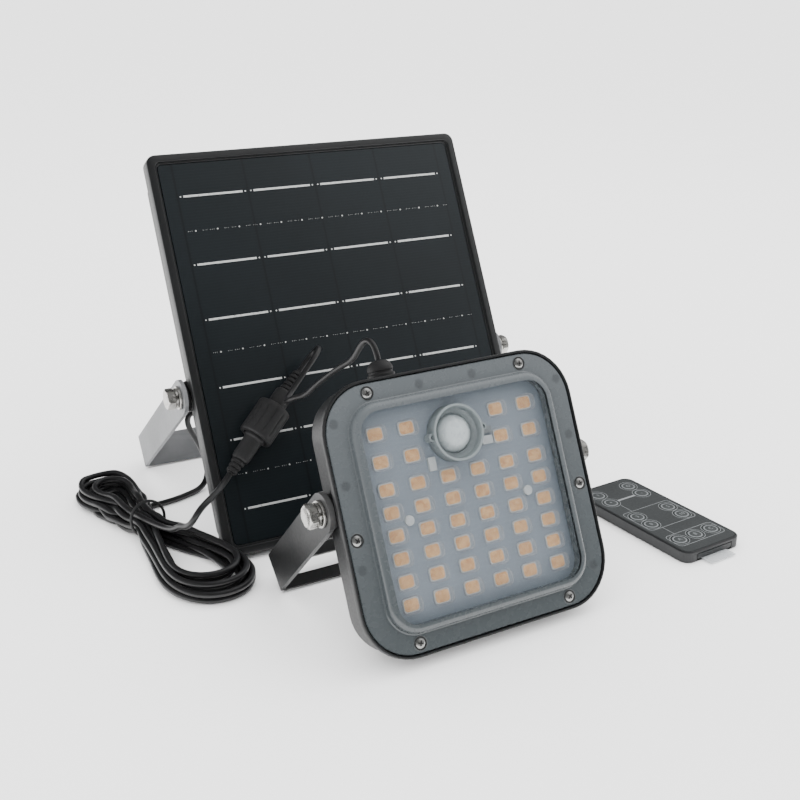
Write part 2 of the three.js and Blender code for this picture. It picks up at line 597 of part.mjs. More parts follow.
function buildRemote() {
  const { length, width, height, corner } = REMOTE;
  const end = length / 2;
  const recess = height - 0.8;
  place(remoteGroup, 'remote_case', carve([softSlab(length, width, corner, 0, height, 0.6, 4, 1)], [
    slab(roundedRect(length - 2, width - 2, corner - 1), recess, height + 1, 4),
    slab(roundedRect(length - 6, width - 6, 3), 4.6, height + 1, 3),
    block(10, end + 1, -12.6, 12.6, 0.7, 4.7),
    rod(2, 0, 9, 12).rotateY(-Math.PI / 2).translate(-end + 7, 0, 2.7),
  ]), remoteGrey);

  place(remoteGroup, 'remote_board', carve([
    slab(roundedRect(length - 6.6, width - 6.6, 2.7), 4.9, height - 1.1, 3),
  ], [block(36, 45, -14, 14, 4, 6)]), boardGreen);

  const top = height;
  const keyHoles = KEYS.map(([x, y]) => rod(KEY.radius + 0.15, 4, 8, 16).translate(x, y, 0));
  place(remoteGroup, 'remote_overlay', carve([
    slab(roundedRect(length - 2.6, width - 2.6, corner - 1.3), top - 0.5, top, 4),
  ], keyHoles), remoteGrey);
  KEYS.forEach(([x, y], i) => {
    const key = turned([
      [0, top - 0.65], [KEY.radius - 0.15, top - 0.65], [KEY.radius - 0.15, top],
      [KEY.radius - 0.9, top + 0.2], [0, top + 0.2],
    ], 16);
    place(remoteGroup, `remote_key_${i + 1}`, key, remoteGrey).position.set(x, y, 0);
  });

  const trayInner = 12.4;
  place(remoteGroup, 'battery_tray', carve([
    block(trayInner, end, -12.2, 12.2, 1.5, 4.2),
  ], [
    rod(10.2, 2, 6, 20).translate(26, 0, 0), rod(7, 0, 6, 16).translate(26, 0, 0),
  ]), remoteGrey);
  place(remoteGroup, 'coin_cell', turned([
    [0, 2.3], [9, 2.3], [9.3, 2.6], [9.9, 2.6], [9.9, 3.9], [0, 3.9],
  ], 20).translate(26, 0, 0), cellSteel);
  place(remoteGroup, 'battery_pull_tab', block(16, end + 6.5, -9, 9, 1, 1.2), tabClear);
  place(remoteGroup, 'infrared_led', turned([
    [0, 0], [1.7, 0], [1.7, 5.6], [1.4, 6.3], [0.8, 6.7], [0, 6.8],
  ], 14).rotateY(-Math.PI / 2).translate(-end + 6.3, 0, 2.7), blackPlastic);
}
buildRemote();

model.position.set(-ORIGIN_X, -ORIGIN_Y, 0);
model.updateMatrixWorld(true);

export default model;
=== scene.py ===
import math

import bmesh
import bpy
import numpy as np
from mathutils import Matrix, Vector


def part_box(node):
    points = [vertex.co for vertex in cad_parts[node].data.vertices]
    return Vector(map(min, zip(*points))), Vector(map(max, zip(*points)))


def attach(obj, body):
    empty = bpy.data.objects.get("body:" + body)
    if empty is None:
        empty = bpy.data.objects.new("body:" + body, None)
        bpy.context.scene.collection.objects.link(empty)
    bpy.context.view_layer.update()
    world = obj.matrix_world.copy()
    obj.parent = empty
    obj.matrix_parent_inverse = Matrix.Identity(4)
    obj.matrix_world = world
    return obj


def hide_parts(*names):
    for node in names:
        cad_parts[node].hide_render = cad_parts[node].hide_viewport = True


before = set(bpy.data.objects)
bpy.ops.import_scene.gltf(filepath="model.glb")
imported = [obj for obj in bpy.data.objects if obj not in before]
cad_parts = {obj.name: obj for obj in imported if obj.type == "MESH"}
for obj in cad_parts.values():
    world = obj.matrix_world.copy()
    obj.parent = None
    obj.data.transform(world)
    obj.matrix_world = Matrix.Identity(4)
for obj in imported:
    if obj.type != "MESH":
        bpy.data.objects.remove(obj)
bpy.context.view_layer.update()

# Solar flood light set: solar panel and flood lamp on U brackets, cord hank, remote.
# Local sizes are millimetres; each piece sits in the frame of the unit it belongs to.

MM = 0.001

# ------ the units' frames

PANEL_LEAN = math.radians(28.5)
LAMP_LEAN = math.radians(25.5)
LAMP_YAW = math.radians(2.8)
REMOTE_YAW = math.radians(-83.6)
GLASS_DEPTH = 1.9      # middle of the panel's glass behind its rim
REAR_COVER_DEPTH = 33  # middle of the lamp's rear cover behind its rim


def node_centre(node):
    """The middle of a CAD body's box."""
    low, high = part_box(node)
    return (low + high) / 2


def set_at(point, rotation):
    return Matrix.Translation(point) @ rotation


def shifted(base, x, y, z):
    return base @ Matrix.Translation(Vector((x, y, z)) * MM)


def leaning_frame(node, depth, lean, yaw):
    """The frame of a unit's rim, from a flat node that lies `depth` behind it."""
    turn = Matrix.Rotation(yaw, 4, "Z") @ Matrix.Rotation(math.pi / 2 - lean, 4, "X")
    return set_at(node_centre(node), turn) @ Matrix.Translation((0, 0, depth * MM))


PANEL = leaning_frame("solar_glass", GLASS_DEPTH, PANEL_LEAN, 0)
LAMP = leaning_frame("rear_cover", REAR_COVER_DEPTH, LAMP_LEAN, LAMP_YAW)
remote_centre = node_centre("remote_case")
REMOTE = set_at((remote_centre.x, remote_centre.y, 0), Matrix.Rotation(REMOTE_YAW, 4, "Z"))

# The cord's places are given in a frame whose origin is off the middle of the footprint.
ORIGIN = Vector((26.34, -39.87, 0))
CONNECTOR_TURN = math.radians(46.4)
CONNECTOR = shifted(PANEL, -59.0, -41.6, 7.4) @ Matrix.Rotation(-CONNECTOR_TURN, 4, "Z")
HANK_FROM = Vector((-104, -93, 0))
HANK_RUN = Vector((-129, 76, 0)) - HANK_FROM
HANK_TURN = math.atan2(HANK_RUN.y, HANK_RUN.x)
HANK = set_at((HANK_FROM - ORIGIN) * MM, Matrix.Rotation(HANK_TURN, 4, "Z"))

# The pivots: how far up the face, behind the rim and out to the side, then pad and sheet.
PANEL_PIVOT = {"up": -19.8, "back": 13.6, "side": 91, "pad": 2, "sheet": 2}
LAMP_PIVOT = {"up": 8.5, "back": 17.3, "side": 62.5, "pad": 2.7, "sheet": 2.5}

Z_TO_Y = Matrix.Rotation(-math.pi / 2, 4, "X")
Z_TO_MINUS_X = Matrix.Rotation(-math.pi / 2, 4, "Y")

# ------ camera

EYE = Vector((-0.28947, -0.53031, 0.29881))
LOOK = Vector((0.4291, 0.8283, -0.3603))
ROLL = math.radians(0.34)
FIELD_OF_VIEW = math.radians(36.5)


def add_camera():
    data = bpy.data.cameras.new("camera")
    data.sensor_fit = "HORIZONTAL"
    data.angle = FIELD_OF_VIEW
    data.clip_start = 0.01
    data.clip_end = 80
    data.dof.use_dof = False
    camera = bpy.data.objects.new("camera", data)
    turn = LOOK.to_track_quat("-Z", "Y").to_matrix().to_4x4()
    camera.matrix_world = Matrix.Translation(EYE) @ turn @ Matrix.Rotation(ROLL, 4, "Z")
    bpy.context.scene.collection.objects.link(camera)
    bpy.context.scene.camera = camera


add_camera()

# ------ building pieces


def new_piece(name, mesh, place, material, body, replaced=(), smooth_angle=35):
    """Turns a mesh in local metres into a piece at `place`, riding on `body`."""
    mesh.name = name
    mesh.shade_smooth()
    mesh.set_sharp_from_angle(angle=math.radians(smooth_angle))
    mesh.materials.clear()
    mesh.materials.append(material)
    piece = bpy.data.objects.new(name, mesh)
    bpy.context.scene.collection.objects.link(piece)
    piece.matrix_world = place
    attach(piece, body)
    if replaced:
        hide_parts(*replaced)
    return piece


class Shape:
    """Gathers closed bodies in local millimetres."""

    def __init__(self):
        self.verts = []
        self.faces = []

    def add(self, verts, faces):
        base = len(self.verts)
        self.verts += [tuple(v) for v in verts]
        self.faces += [tuple(base + i for i in face) for face in faces]
        return self

    def rings(self, rings, closed=False):
        """Skins equal rings of points, with end caps unless the stack closes on itself."""
        count = len(rings[0])
        verts = [p for ring in rings for p in ring]
        faces = []
        spans = len(rings) if closed else len(rings) - 1
        for level in range(spans):
            low = level * count
            high = (level + 1) % len(rings) * count
            for i in range(count):
                j = (i + 1) % count
                faces.append((low + i, low + j, high + j, high + i))
        if not closed:
            faces.append(tuple(reversed(range(count))))
            faces.append(tuple(range((len(rings) - 1) * count, len(rings) * count)))
        return self.add(verts, faces)

    def turned(self, profile, segments=48, place=Matrix.Identity(4)):
        """A body of revolution about local Z from [radius, height] pairs."""
        on_axis = [r < 1e-6 for r, _ in profile]
        rings = []
        for radius, height in profile:
            radius = max(radius, 1e-4)
            rings.append([
                place @ Vector((
                    radius * math.cos(2 * math.pi * i / segments),
                    radius * math.sin(2 * math.pi * i / segments), height,
                )) for i in range(segments)
            ])
        return self.rings(rings, closed=not (on_axis[0] and on_axis[-1]))

    def box(self, x0, x1, y0, y1, z0, z1):
        verts = [(x, y, z) for z in (z0, z1) for x, y in ((x0, y0), (x1, y0), (x1, y1), (x0, y1))]
        return self.add(verts, [
            (3, 2, 1, 0), (4, 5, 6, 7), (0, 1, 5, 4), (1, 2, 6, 5), (2, 3, 7, 6), (3, 0, 4, 7),
        ])

    def stack(self, levels, centre=(0, 0), steps=8, closed=False):
        """Skins rounded rectangles: each level is (width, height, corner radius, z)."""
        rings = [
            [(centre[0] + x, centre[1] + y, z) for x, y in rounded(w, h, r, steps)]
            for w, h, r, z in levels
        ]
        return self.rings(rings, closed)

    def mesh(self):
        mesh = bpy.data.meshes.new("mesh")
        mesh.from_pydata([Vector(v) * MM for v in self.verts], [], self.faces)
        shell = bmesh.new()
        shell.from_mesh(mesh)
        bmesh.ops.remove_doubles(shell, verts=shell.verts, dist=2e-6)
        bmesh.ops.dissolve_degenerate(shell, edges=shell.edges, dist=1e-7)
        bmesh.ops.recalc_face_normals(shell, faces=shell.faces)
        shell.to_mesh(mesh)
        shell.free()
        return mesh


def rounded(width, height, radius, steps=8):
    """Points of a rounded rectangle round the origin, anticlockwise."""
    radius = max(min(radius, width / 2 - 1e-3, height / 2 - 1e-3), 0.01)
    points = []
    for quarter, (sx, sy) in enumerate(((1, 1), (-1, 1), (-1, -1), (1, -1))):
        for i in range(steps + 1):
            angle = (quarter + i / steps) * math.pi / 2
            points.append((
                sx * (width / 2 - radius) + radius * math.cos(angle),
                sy * (height / 2 - radius) + radius * math.sin(angle),
            ))
    return points


# ------ materials


def rgba(colour):
    return (*colour[:3], 1.0)


class Nodes:
    """A principled material whose node links are made by short calls."""

    def __init__(self, name):
        self.material = bpy.data.materials.new(name)
        self.material.use_nodes = True
        self.tree = self.material.node_tree
        self.shader = self.tree.nodes["Principled BSDF"]

    def node(self, kind, inputs=None, **settings):
        made = self.tree.nodes.new(kind)
        for key, value in settings.items():
            setattr(made, key, value)
        for key, value in (inputs or {}).items():
            self.feed(made.inputs[key], value)
        return made

    def feed(self, socket, value):
        if isinstance(value, bpy.types.NodeSocket):
            self.tree.links.new(value, socket)
        else:
            socket.default_value = value

    def set(self, **values):
        for key, value in values.items():
            self.feed(self.shader.inputs[key.replace("_", " ")], value)
        return self

    def place(self):
        return self.node("ShaderNodeTexCoord").outputs["Object"]

    def math(self, operation, a, b=0.0, c=0.0):
        return self.node("ShaderNodeMath", {0: a, 1: b, 2: c}, operation=operation).outputs[0]

    def noise(self, scale, detail=3, roughness=0.55):
        return self.node("ShaderNodeTexNoise", {
            "Vector": self.place(), "Scale": scale, "Detail": detail, "Roughness": roughness,
        }).outputs["Fac"]

    def spread(self, value, low, high, to_low, to_high):
        return self.node("ShaderNodeMapRange", {
            "Value": value, "From Min": low, "From Max": high, "To Min": to_low, "To Max": to_high,
        }).outputs["Result"]

    def mix(self, factor, a, b):
        made = self.node("ShaderNodeMix", data_type="RGBA")
        self.feed(made.inputs[0], factor)
        for socket, value in ((made.inputs[6], a), (made.inputs[7], b)):
            self.feed(socket, value if isinstance(value, bpy.types.NodeSocket) else rgba(value))
        return made.outputs[2]

    def bump(self, height, strength, distance):
        return self.node("ShaderNodeBump", {
            "Height": height, "Strength": strength, "Distance": distance,
        }).outputs["Normal"]

    def blend(self, value, low, high, a, b):
        """Colour `a` where the value is low, turning to `b` where it is high."""
        return self.mix(self.spread(value, low, high, 0.0, 1.0), a, b)


def scaled(colour, factor):
    return [c * factor for c in colour]


def moulded(name, colour, roughness, grain=0.012, scale=900.0):
    """Moulded plastic or rubber: fine grain, faint mottling and slightly uneven gloss."""
    nodes = Nodes(name)
    cloud = nodes.noise(18.0, 4)
    fine = nodes.noise(scale, 2, 0.7)
    light = [c * 1.25 + 0.0005 for c in colour]
    nodes.set(
        Base_Color=nodes.blend(cloud, 0.3, 0.7, scaled(colour, 0.75), light),
        Roughness=nodes.spread(fine, 0.25, 0.75, roughness - 0.06, roughness + 0.06),
        Normal=nodes.bump(fine, 0.35, grain * MM),
    )
    return nodes.material


def coated_metal(name, colour, roughness, worn=(0.35, 0.35, 0.36)):
    """Powder-coated sheet: orange-peel skin, a little wear where the surface turns."""
    nodes = Nodes(name)
    peel = nodes.noise(700.0, 3, 0.6)
    cloud = nodes.noise(14.0, 5)
    edge = nodes.node("ShaderNodeNewGeometry").outputs["Pointiness"]
    on_edges = nodes.spread(edge, 0.53, 0.60, 0.0, 0.55)
    in_patches = nodes.spread(cloud, 0.45, 0.6, 0.2, 1.0)
    rubbed = nodes.math("MULTIPLY", on_edges, in_patches)
    base = nodes.blend(cloud, 0.3, 0.7, scaled(colour, 0.86), scaled(colour, 1.12))
    nodes.set(
        Base_Color=nodes.mix(rubbed, base, worn),
        Roughness=nodes.spread(peel, 0.2, 0.8, roughness - 0.05, roughness + 0.07),
        Metallic=0.35,
        Normal=nodes.bump(peel, 0.3, 0.02 * MM),
    )
    return nodes.material


black_housing = moulded("black_housing", (0.0045, 0.005, 0.0055), 0.42)
black_rubber = moulded("black_rubber", (0.005, 0.005, 0.0055), 0.6, grain=0.02, scale=600.0)
cord_jacket = moulded("cord_jacket", (0.004, 0.004, 0.0045), 0.38, grain=0.008, scale=500.0)
grey_steel = coated_metal("grey_steel", (0.13, 0.135, 0.14), 0.42)
black_steel = coated_metal("black_steel", (0.005, 0.0055, 0.006), 0.4, worn=(0.10, 0.10, 0.10))

# ------ paths and cords


def smooth_path(points, spacing):
    """Samples one centripetal curve through the points at an even spacing, in the points' unit."""
    p = np.array(points, float)
    p = np.vstack([2 * p[0] - p[1], p, 2 * p[-1] - p[-2]])
    dense = []
    for i in range(1, len(p) - 2):
        spans = np.linalg.norm(np.diff(p[i - 1:i + 3], axis=0), axis=1)
        t0, t1, t2, t3 = np.concatenate([[0], np.cumsum(spans ** 0.5)])
        t = np.linspace(t1, t2, 24, endpoint=False)[:, None]
        a1 = (t1 - t) / (t1 - t0) * p[i - 1] + (t - t0) / (t1 - t0) * p[i]
        a2 = (t2 - t) / (t2 - t1) * p[i] + (t - t1) / (t2 - t1) * p[i + 1]
        a3 = (t3 - t) / (t3 - t2) * p[i + 1] + (t - t2) / (t3 - t2) * p[i + 2]
        b1 = (t2 - t) / (t2 - t0) * a1 + (t - t0) / (t2 - t0) * a2
        b2 = (t3 - t) / (t3 - t1) * a2 + (t - t1) / (t3 - t1) * a3
        dense.append((t2 - t) / (t2 - t1) * b1 + (t - t1) / (t2 - t1) * b2)
    dense = np.vstack(dense + [p[-2][None]])
    travelled = np.concatenate([[0], np.cumsum(np.linalg.norm(np.diff(dense, axis=0), axis=1))])
    stops = np.linspace(0, travelled[-1], max(2, int(round(travelled[-1] / spacing)) + 1))
    return np.stack([np.interp(stops, travelled, dense[:, k]) for k in range(3)], axis=1)


def eased(path, rounds):
    """Relaxes tight spots in an evenly sampled path, keeping its two ends."""
    p = np.array(path, float)
    for _ in range(rounds):
        p[3:-3] += 0.5 * ((p[2:-4] + p[4:-2]) / 2 - p[3:-3])
    return p


def tube_mesh(path, radius, sides=12):
    """A round tube along a path in metres, with flat ends."""
    path = [Vector(p) for p in path]
    last = len(path) - 1
    across = (path[1] - path[0]).normalized().orthogonal().normalized()
    rings = []
    for i, point in enumerate(path):
        tangent = (path[min(i + 1, last)] - path[max(i - 1, 0)]).normalized()
        across = (across - tangent * across.dot(tangent)).normalized()
        other = tangent.cross(across)
        rings.append([
            (point + radius * (math.cos(a) * across + math.sin(a) * other)) / MM
            for a in (2 * math.pi * k / sides for k in range(sides))
        ])
    return Shape().rings(rings).mesh()


CORD_RADIUS = 1.6
LEAD_RADIUS = 1.4
TIE_ALONG = 92
TIE_HEIGHT = 10.4
PACK_PITCH = 3.22  # strands lie this far apart

# Each turn's fold: its radius, and how far it lies from the usual place along the hank.
BACK_RADII = (9.0, 15.0, 12.0, 16.4, 10.5, 13.6, 16.6, 12.2, 15.2, 11.0)
BACK_SHIFTS = (0, 2, -3, 0, -6, 2, -3, -7, -2, -9)
FRONT_RADII = (17.6, 14.2, 18.2, 11.5, 16.2, 18.0, 13.2, 16.8, 14.6)
FRONT_SHIFTS = (0, 3, -1, 6, 1, -2, 5, 0, 4)


def design(x, y, z):
    """A point given in millimetres from the design's origin."""
    return (Vector((x, y, z)) - ORIGIN) * MM


def face(across, up, out):
    """A point given from the middle of the panel's rim."""
    return PANEL @ (Vector((across, up, out)) * MM)


def connector_point(along, lift=0):
    """A point along the connector's axis, or lifted off it."""
    return CONNECTOR @ Vector((0, along * MM, lift * MM))


def packed_waist():
    """Places of the strands inside the tie, from the lowest up: outgoing side, then returning side."""
    row = PACK_PITCH * math.sqrt(3) / 2
    spots = []
    for level in range(-2, 3):
        count = 5 - abs(level)
        for i in range(count):
            spots.append(((i - (count - 1) / 2) * PACK_PITCH, level * row))
    right = [s for s in spots if s[0] > 0.1 or abs(s[0]) < 0.1 and s[1] > -1]
    left = [s for s in spots if s not in right]
    return right, left


def hank_route():
    """The folded cord from where it enters the hank to where it rises, in the hank's own frame."""
    right, left = packed_waist()
    rng = np.random.default_rng(7)
    route = [(121.6, -14.35, 1.65), (123.5, -8.5, 1.65), (130, -4.6, 1.65), (139, -5.5, 1.65)]
    for turn, (v, z) in enumerate(right):
        level = 1.7 + 1.75 * turn
        back_radius = BACK_RADII[turn]
        back_centre = 147 + BACK_SHIFTS[turn] + rng.uniform(-1, 1)
        for angle in (-60, -20, 20, 60, 95):
            a = math.radians(angle)
            route.append((back_centre + back_radius * math.cos(a), back_radius * math.sin(a), level))
        route.append((118, 0.45 * (back_radius + v), (level + TIE_HEIGHT + z) / 2))
        route.append((TIE_ALONG, v, TIE_HEIGHT + z))
        if turn == len(right) - 1:
            break
        front_radius = FRONT_RADII[turn]
        front_centre = 33 + FRONT_SHIFTS[turn] + rng.uniform(-1, 1)
        level += 0.9
        route.append((66, 0.5 * (front_radius + v) - 2, (level + TIE_HEIGHT + z) / 2))
        for angle in (85, 120, 160, 200, 240, 275):
            a = math.radians(angle)
            route.append((front_centre - 3 + 1.15 * front_radius * math.cos(a),
                          1.15 * front_radius * math.sin(a) - 4, level))
        v, z = left[turn]
        route.append((66, 0.5 * (v - front_radius) - 2, (level + TIE_HEIGHT + z) / 2))
        route.append((TIE_ALONG, v, TIE_HEIGHT + z))
        route.append((118, 0.45 * (v - BACK_RADII[turn + 1]), (level + TIE_HEIGHT + z) / 2))
    route += [(74, 0.5, 19.3), (58, 0, 21.6), (47, -0.6, 24.0)]
    return route


def settle(path, rounds, keep_ends=3):
    """Lets a folded cord relax: strands push apart, sink, and stay inside the tie."""
    p = np.array(path, float)
    spans = np.linalg.norm(np.diff(p, axis=0), axis=1)
    fixed = np.r_[0:keep_ends, len(p) - keep_ends:len(p)]
    held = p[fixed].copy()
    index = np.arange(len(p))
    apart = np.abs(index[:, None] - index[None]) > 4
    for step in range(rounds):
        p[1:-1] += 0.12 * ((p[:-2] + p[2:]) / 2 - p[1:-1])
        p[:, 2] -= 0.05
        for _ in range(2):
            gap = p[:, None] - p[None]
            far = np.sqrt((gap ** 2).sum(2)) + 1e-9
            push = np.where(apart & (far < PACK_PITCH), (PACK_PITCH - far) / far, 0.0)
            p += 0.32 * (gap * push[..., None]).sum(1) / np.maximum(1, (push > 0).sum(1))[:, None] * 1.6
        for start in (0, 1, 0, 1):
            a = p[start:-1:2]
            b = p[start + 1::2]
            link = b[:len(a)] - a
            length = np.linalg.norm(link, axis=1)[:, None]
            fix = 0.5 * link * (1 - spans[start::2][:len(a), None] / length)
            p[start:-1:2] += fix
            p[start + 1::2][:len(a)] -= fix
        p[:, 2] = np.maximum(p[:, 2], CORD_RADIUS + 0.12)
        near_tie = np.abs(p[:, 0] - TIE_ALONG) < 3.5
        off = p[near_tie, 1:] - (0, TIE_HEIGHT)
        reach = np.linalg.norm(off, axis=1)[:, None]
        p[near_tie, 1:] = (0, TIE_HEIGHT) + off * np.minimum(1, 6.95 / np.maximum(reach, 1e-6))
        p[fixed] = held
    return p


def main_cord_path():
    gland_end = face(-48.6, -36, -29.3)
    from_panel = [
        gland_end, gland_end + Vector((-7, 0, 0)) * MM, design(-65, 11, 53), design(-74, 18, 55.6),
        design(-80.6, 24, 55.6), design(-83.6, 28.6, 51.5), design(-82.8, 31.4, 45),
        design(-79.6, 33.8, 38), design(-76, 36.6, 31), design(-71.6, 41, 21),
        design(-69.4, 43.6, 13.6), design(-69.2, 43.7, 8), design(-71.2, 42, 3.6),
        design(-75.6, 39.2, 1.7), design(-82, 35.8, 1.65), design(-92, 32, 1.65),
    ]
    rounds = 120
    folded = settle(smooth_path(hank_route(), 2.9), rounds)
    in_hank = [HANK @ (Vector(p) * MM) for p in smooth_path(folded, 2.0)]
    to_connector = [
        design(-108.4, -53.2, 30), design(-105.3, -53, 35), design(-99.5, -49.8, 37.4),
        design(-94, -44.8, 38), connector_point(-40.5), connector_point(-37), connector_point(-33.3),
    ]
    entry = eased(smooth_path(from_panel + in_hank[:3], 1.0 * MM), 15)[::2]
    rise = eased(smooth_path(in_hank[-3:] + to_connector, 1.0 * MM), 15)[::2]
    joined = smooth_path(np.vstack([entry, in_hank[3:-3], rise, [to_connector[-1]]]), 1.6 * MM)
    return eased(joined, 3)


def lamp_lead_path():
    gland = LAMP @ (Vector((-25.8, 69.6, -15.2)) * MM)
    above = LAMP @ (Vector((-25.8, 73.8, -15.2)) * MM)
    return eased(smooth_path([
        gland, above, face(-35.6, -24.4, 105.3), face(-36.3, -21.6, 101.5), face(-36.9, -22.2, 97.3),
        face(-38.6, -27.6, 86), face(-40.2, -28.6, 74), face(-42, -30.2, 60), face(-44.6, -32.6, 48),
        face(-47.6, -35.4, 38.5), connector_point(9.8, 26), connector_point(8.2, 20.5),
        connector_point(11.6, 15.2), connector_point(18.5, 13.8), connector_point(30, 13.8),
        connector_point(39, 13.8), connector_point(44.6, 12), connector_point(47.2, 7.2),
        connector_point(44.8, 2), connector_point(40.4, 0.1), connector_point(37),
        connector_point(32.8),
    ], 1.0 * MM), 15)


main_path = main_cord_path()
main_cord = new_piece("main_cord", tube_mesh(main_path, CORD_RADIUS * MM), Matrix.Identity(4),
                      cord_jacket, "set", ("panel_cord", "cord_hank", "riser_cord"), 60)

lead_path = lamp_lead_path()
lamp_lead = new_piece("lamp_lead_cord", tube_mesh(lead_path, LEAD_RADIUS * MM), Matrix.Identity(4),
                      cord_jacket, "set", ("lamp_lead",), 60)

# ------ more materials

RIBBONS = (82.7, 45.8, 16.3, -19.7, -47.3, -83.2)
DOTTED_RIBBONS = (63.8, -1.2, -65.3)
COLUMN = 39  # the cells' columns lie this far apart


def thin_clear(name, tint, body, edge_on_sheen, gloss):
    """A thin clear skin: passes light straight through, and whitens where it is seen edge-on, a painted
    sheen standing in for the reflection there.
    """
    nodes = Nodes(name)
    fine = nodes.noise(160.0, 2)
    facing = nodes.node("ShaderNodeLayerWeight", {"Blend": 0.5}).outputs["Facing"]
    nodes.set(
        Base_Color=nodes.blend(fine, 0.3, 0.7, scaled(tint, 0.96), tint),
        Roughness=nodes.spread(fine, 0.3, 0.7, gloss, gloss + 0.05),
        # painted sheen: the tint grows more opaque towards edge-on view, in place of the reflection a
        # clear skin shows there
        Alpha=nodes.spread(nodes.math("POWER", facing, 2.2), 0.0, 1.0, body, body + edge_on_sheen),
    )
    return nodes.material


def zinc_plate(name, colour=(0.62, 0.61, 0.58)):
    """Bright plated steel with turning marks and faint clouding."""
    nodes = Nodes(name)
    cloud = nodes.noise(260.0, 4)
    fine = nodes.noise(2400.0, 2)
    nodes.set(
        Base_Color=nodes.blend(cloud, 0.3, 0.7, scaled(colour, 0.72), colour),
        Roughness=nodes.spread(cloud, 0.25, 0.75, 0.2, 0.36),
        Metallic=1.0,
        Normal=nodes.bump(fine, 0.25, 0.004 * MM),
    )
    return nodes.material


TRACK_PITCH = 9.6


def masked_board(name, colour, trace):
    """Solder mask with copper tracks showing faintly through it."""
    nodes = Nodes(name)
    tracks = nodes.node("ShaderNodeTexBrick", {
        "Vector": nodes.place(), "Scale": 1000 / TRACK_PITCH, "Mortar Size": 0.018, "Bias": -0.4,
        "Color1": (0, 0, 0, 1), "Color2": (0.1, 0.1, 0.1, 1), "Mortar": (1, 1, 1, 1),
    }).outputs["Color"]
    fine = nodes.noise(500.0, 3)
    nodes.set(
        Base_Color=nodes.mix(nodes.math("MULTIPLY", tracks, 0.3), colour, trace),
        Roughness=nodes.spread(fine, 0.3, 0.7, 0.38, 0.5),
        Normal=nodes.bump(tracks, 0.3, 0.02 * MM),
    )
    return nodes.material


def laminate(name):
    """Near-black cells parted by faint lines, seen through glass."""
    nodes = Nodes(name)
    split = nodes.node("ShaderNodeSeparateXYZ", {0: nodes.place()})
    across, up, _ = split.outputs
    columns = nodes.math("ADD", nodes.math("DIVIDE", across, COLUMN * MM), 20.0)
    from_middle = nodes.math("SUBTRACT", nodes.math("FRACT", columns), 0.5)
    in_gap = nodes.spread(nodes.math("ABSOLUTE", from_middle), 0.482, 0.492, 0.0, 1.0)
    fingers = nodes.math("SINE", nodes.math("MULTIPLY", up, 2 * math.pi / (1.6 * MM)))
    cloud = nodes.noise(9.0, 4)
    cells = nodes.blend(cloud, 0.3, 0.7, (0.0020, 0.0028, 0.0030), (0.0042, 0.0058, 0.0064))
    lined = nodes.mix(nodes.spread(fingers, 0.2, 1.0, 0.0, 0.25), cells, (0.008, 0.011, 0.012))
    nodes.set(
        Base_Color=nodes.mix(in_gap, lined, (0.0015, 0.0018, 0.0020)),
        Roughness=0.35,
        Specular_IOR_Level=0.25,
        Coat_Weight=1.0,
        Coat_Roughness=nodes.spread(nodes.noise(40.0, 2), 0.3, 0.7, 0.05, 0.09),
        Coat_IOR=1.42,
        Coat_Tint=(0.85, 0.93, 1.0, 1),
    )
    return nodes.material


def smoky_border_painted_top_light(name, dots):
    """The cover's printed border: smoky grey, with painted light making it paler towards the top, and
    darker spots where bosses lie beneath.
    """
    nodes = Nodes(name)
    place = nodes.place()
    up = nodes.node("ShaderNodeSeparateXYZ", {0: place}).outputs["Y"]
    # painted top light: the grey turns paler from bottom to top, standing in for light falling from above
    base = nodes.blend(up, -55 * MM, 55 * MM, (0.038, 0.045, 0.048), (0.062, 0.070, 0.075))
    shade = 0.0
    for x, y in dots:
        spot = Vector((x, y, -4.1)) * MM
        away = nodes.node("ShaderNodeVectorMath", {0: place, 1: spot}, operation="DISTANCE")
        dot = nodes.spread(away.outputs["Value"], 1.7 * MM, 2.6 * MM, 0.45, 0.0)
        shade = nodes.math("MAXIMUM", shade, dot)
    fine = nodes.noise(220.0, 3)
    nodes.set(
        Base_Color=nodes.mix(shade, base, (0.02, 0.022, 0.024)),
        Roughness=nodes.spread(fine, 0.3, 0.7, 0.22, 0.32),
        Coat_Weight=0.4,
        Coat_Roughness=0.1,
    )
    return nodes.material


def phosphor(name):
    """Amber LED phosphor with a little light passing through it."""
    nodes = Nodes(name)
    cloud = nodes.noise(450.0, 2)
    nodes.set(
        Base_Color=nodes.blend(cloud, 0.35, 0.65, (0.36, 0.17, 0.045), (0.50, 0.28, 0.100)),
        Roughness=nodes.spread(cloud, 0.3, 0.7, 0.3, 0.5),
        Subsurface_Weight=0.15,
        Subsurface_Radius=(0.001, 0.0006, 0.0003),
    )
    return nodes.material


def plain(name, colour, roughness, metallic=0.0, scale=300.0, spread=0.12):
    """A simple finish with slight mottling in colour and gloss."""
    nodes = Nodes(name)
    cloud = nodes.noise(scale, 3)
    nodes.set(
        Base_Color=nodes.mix(cloud, scaled(colour, 1 - spread), scaled(colour, 1 + spread)),
        Roughness=nodes.spread(cloud, 0.2, 0.8, roughness - 0.05, roughness + 0.05),
        Metallic=metallic,
        Normal=nodes.bump(cloud, 0.15, 0.01 * MM),
    )
    return nodes.material


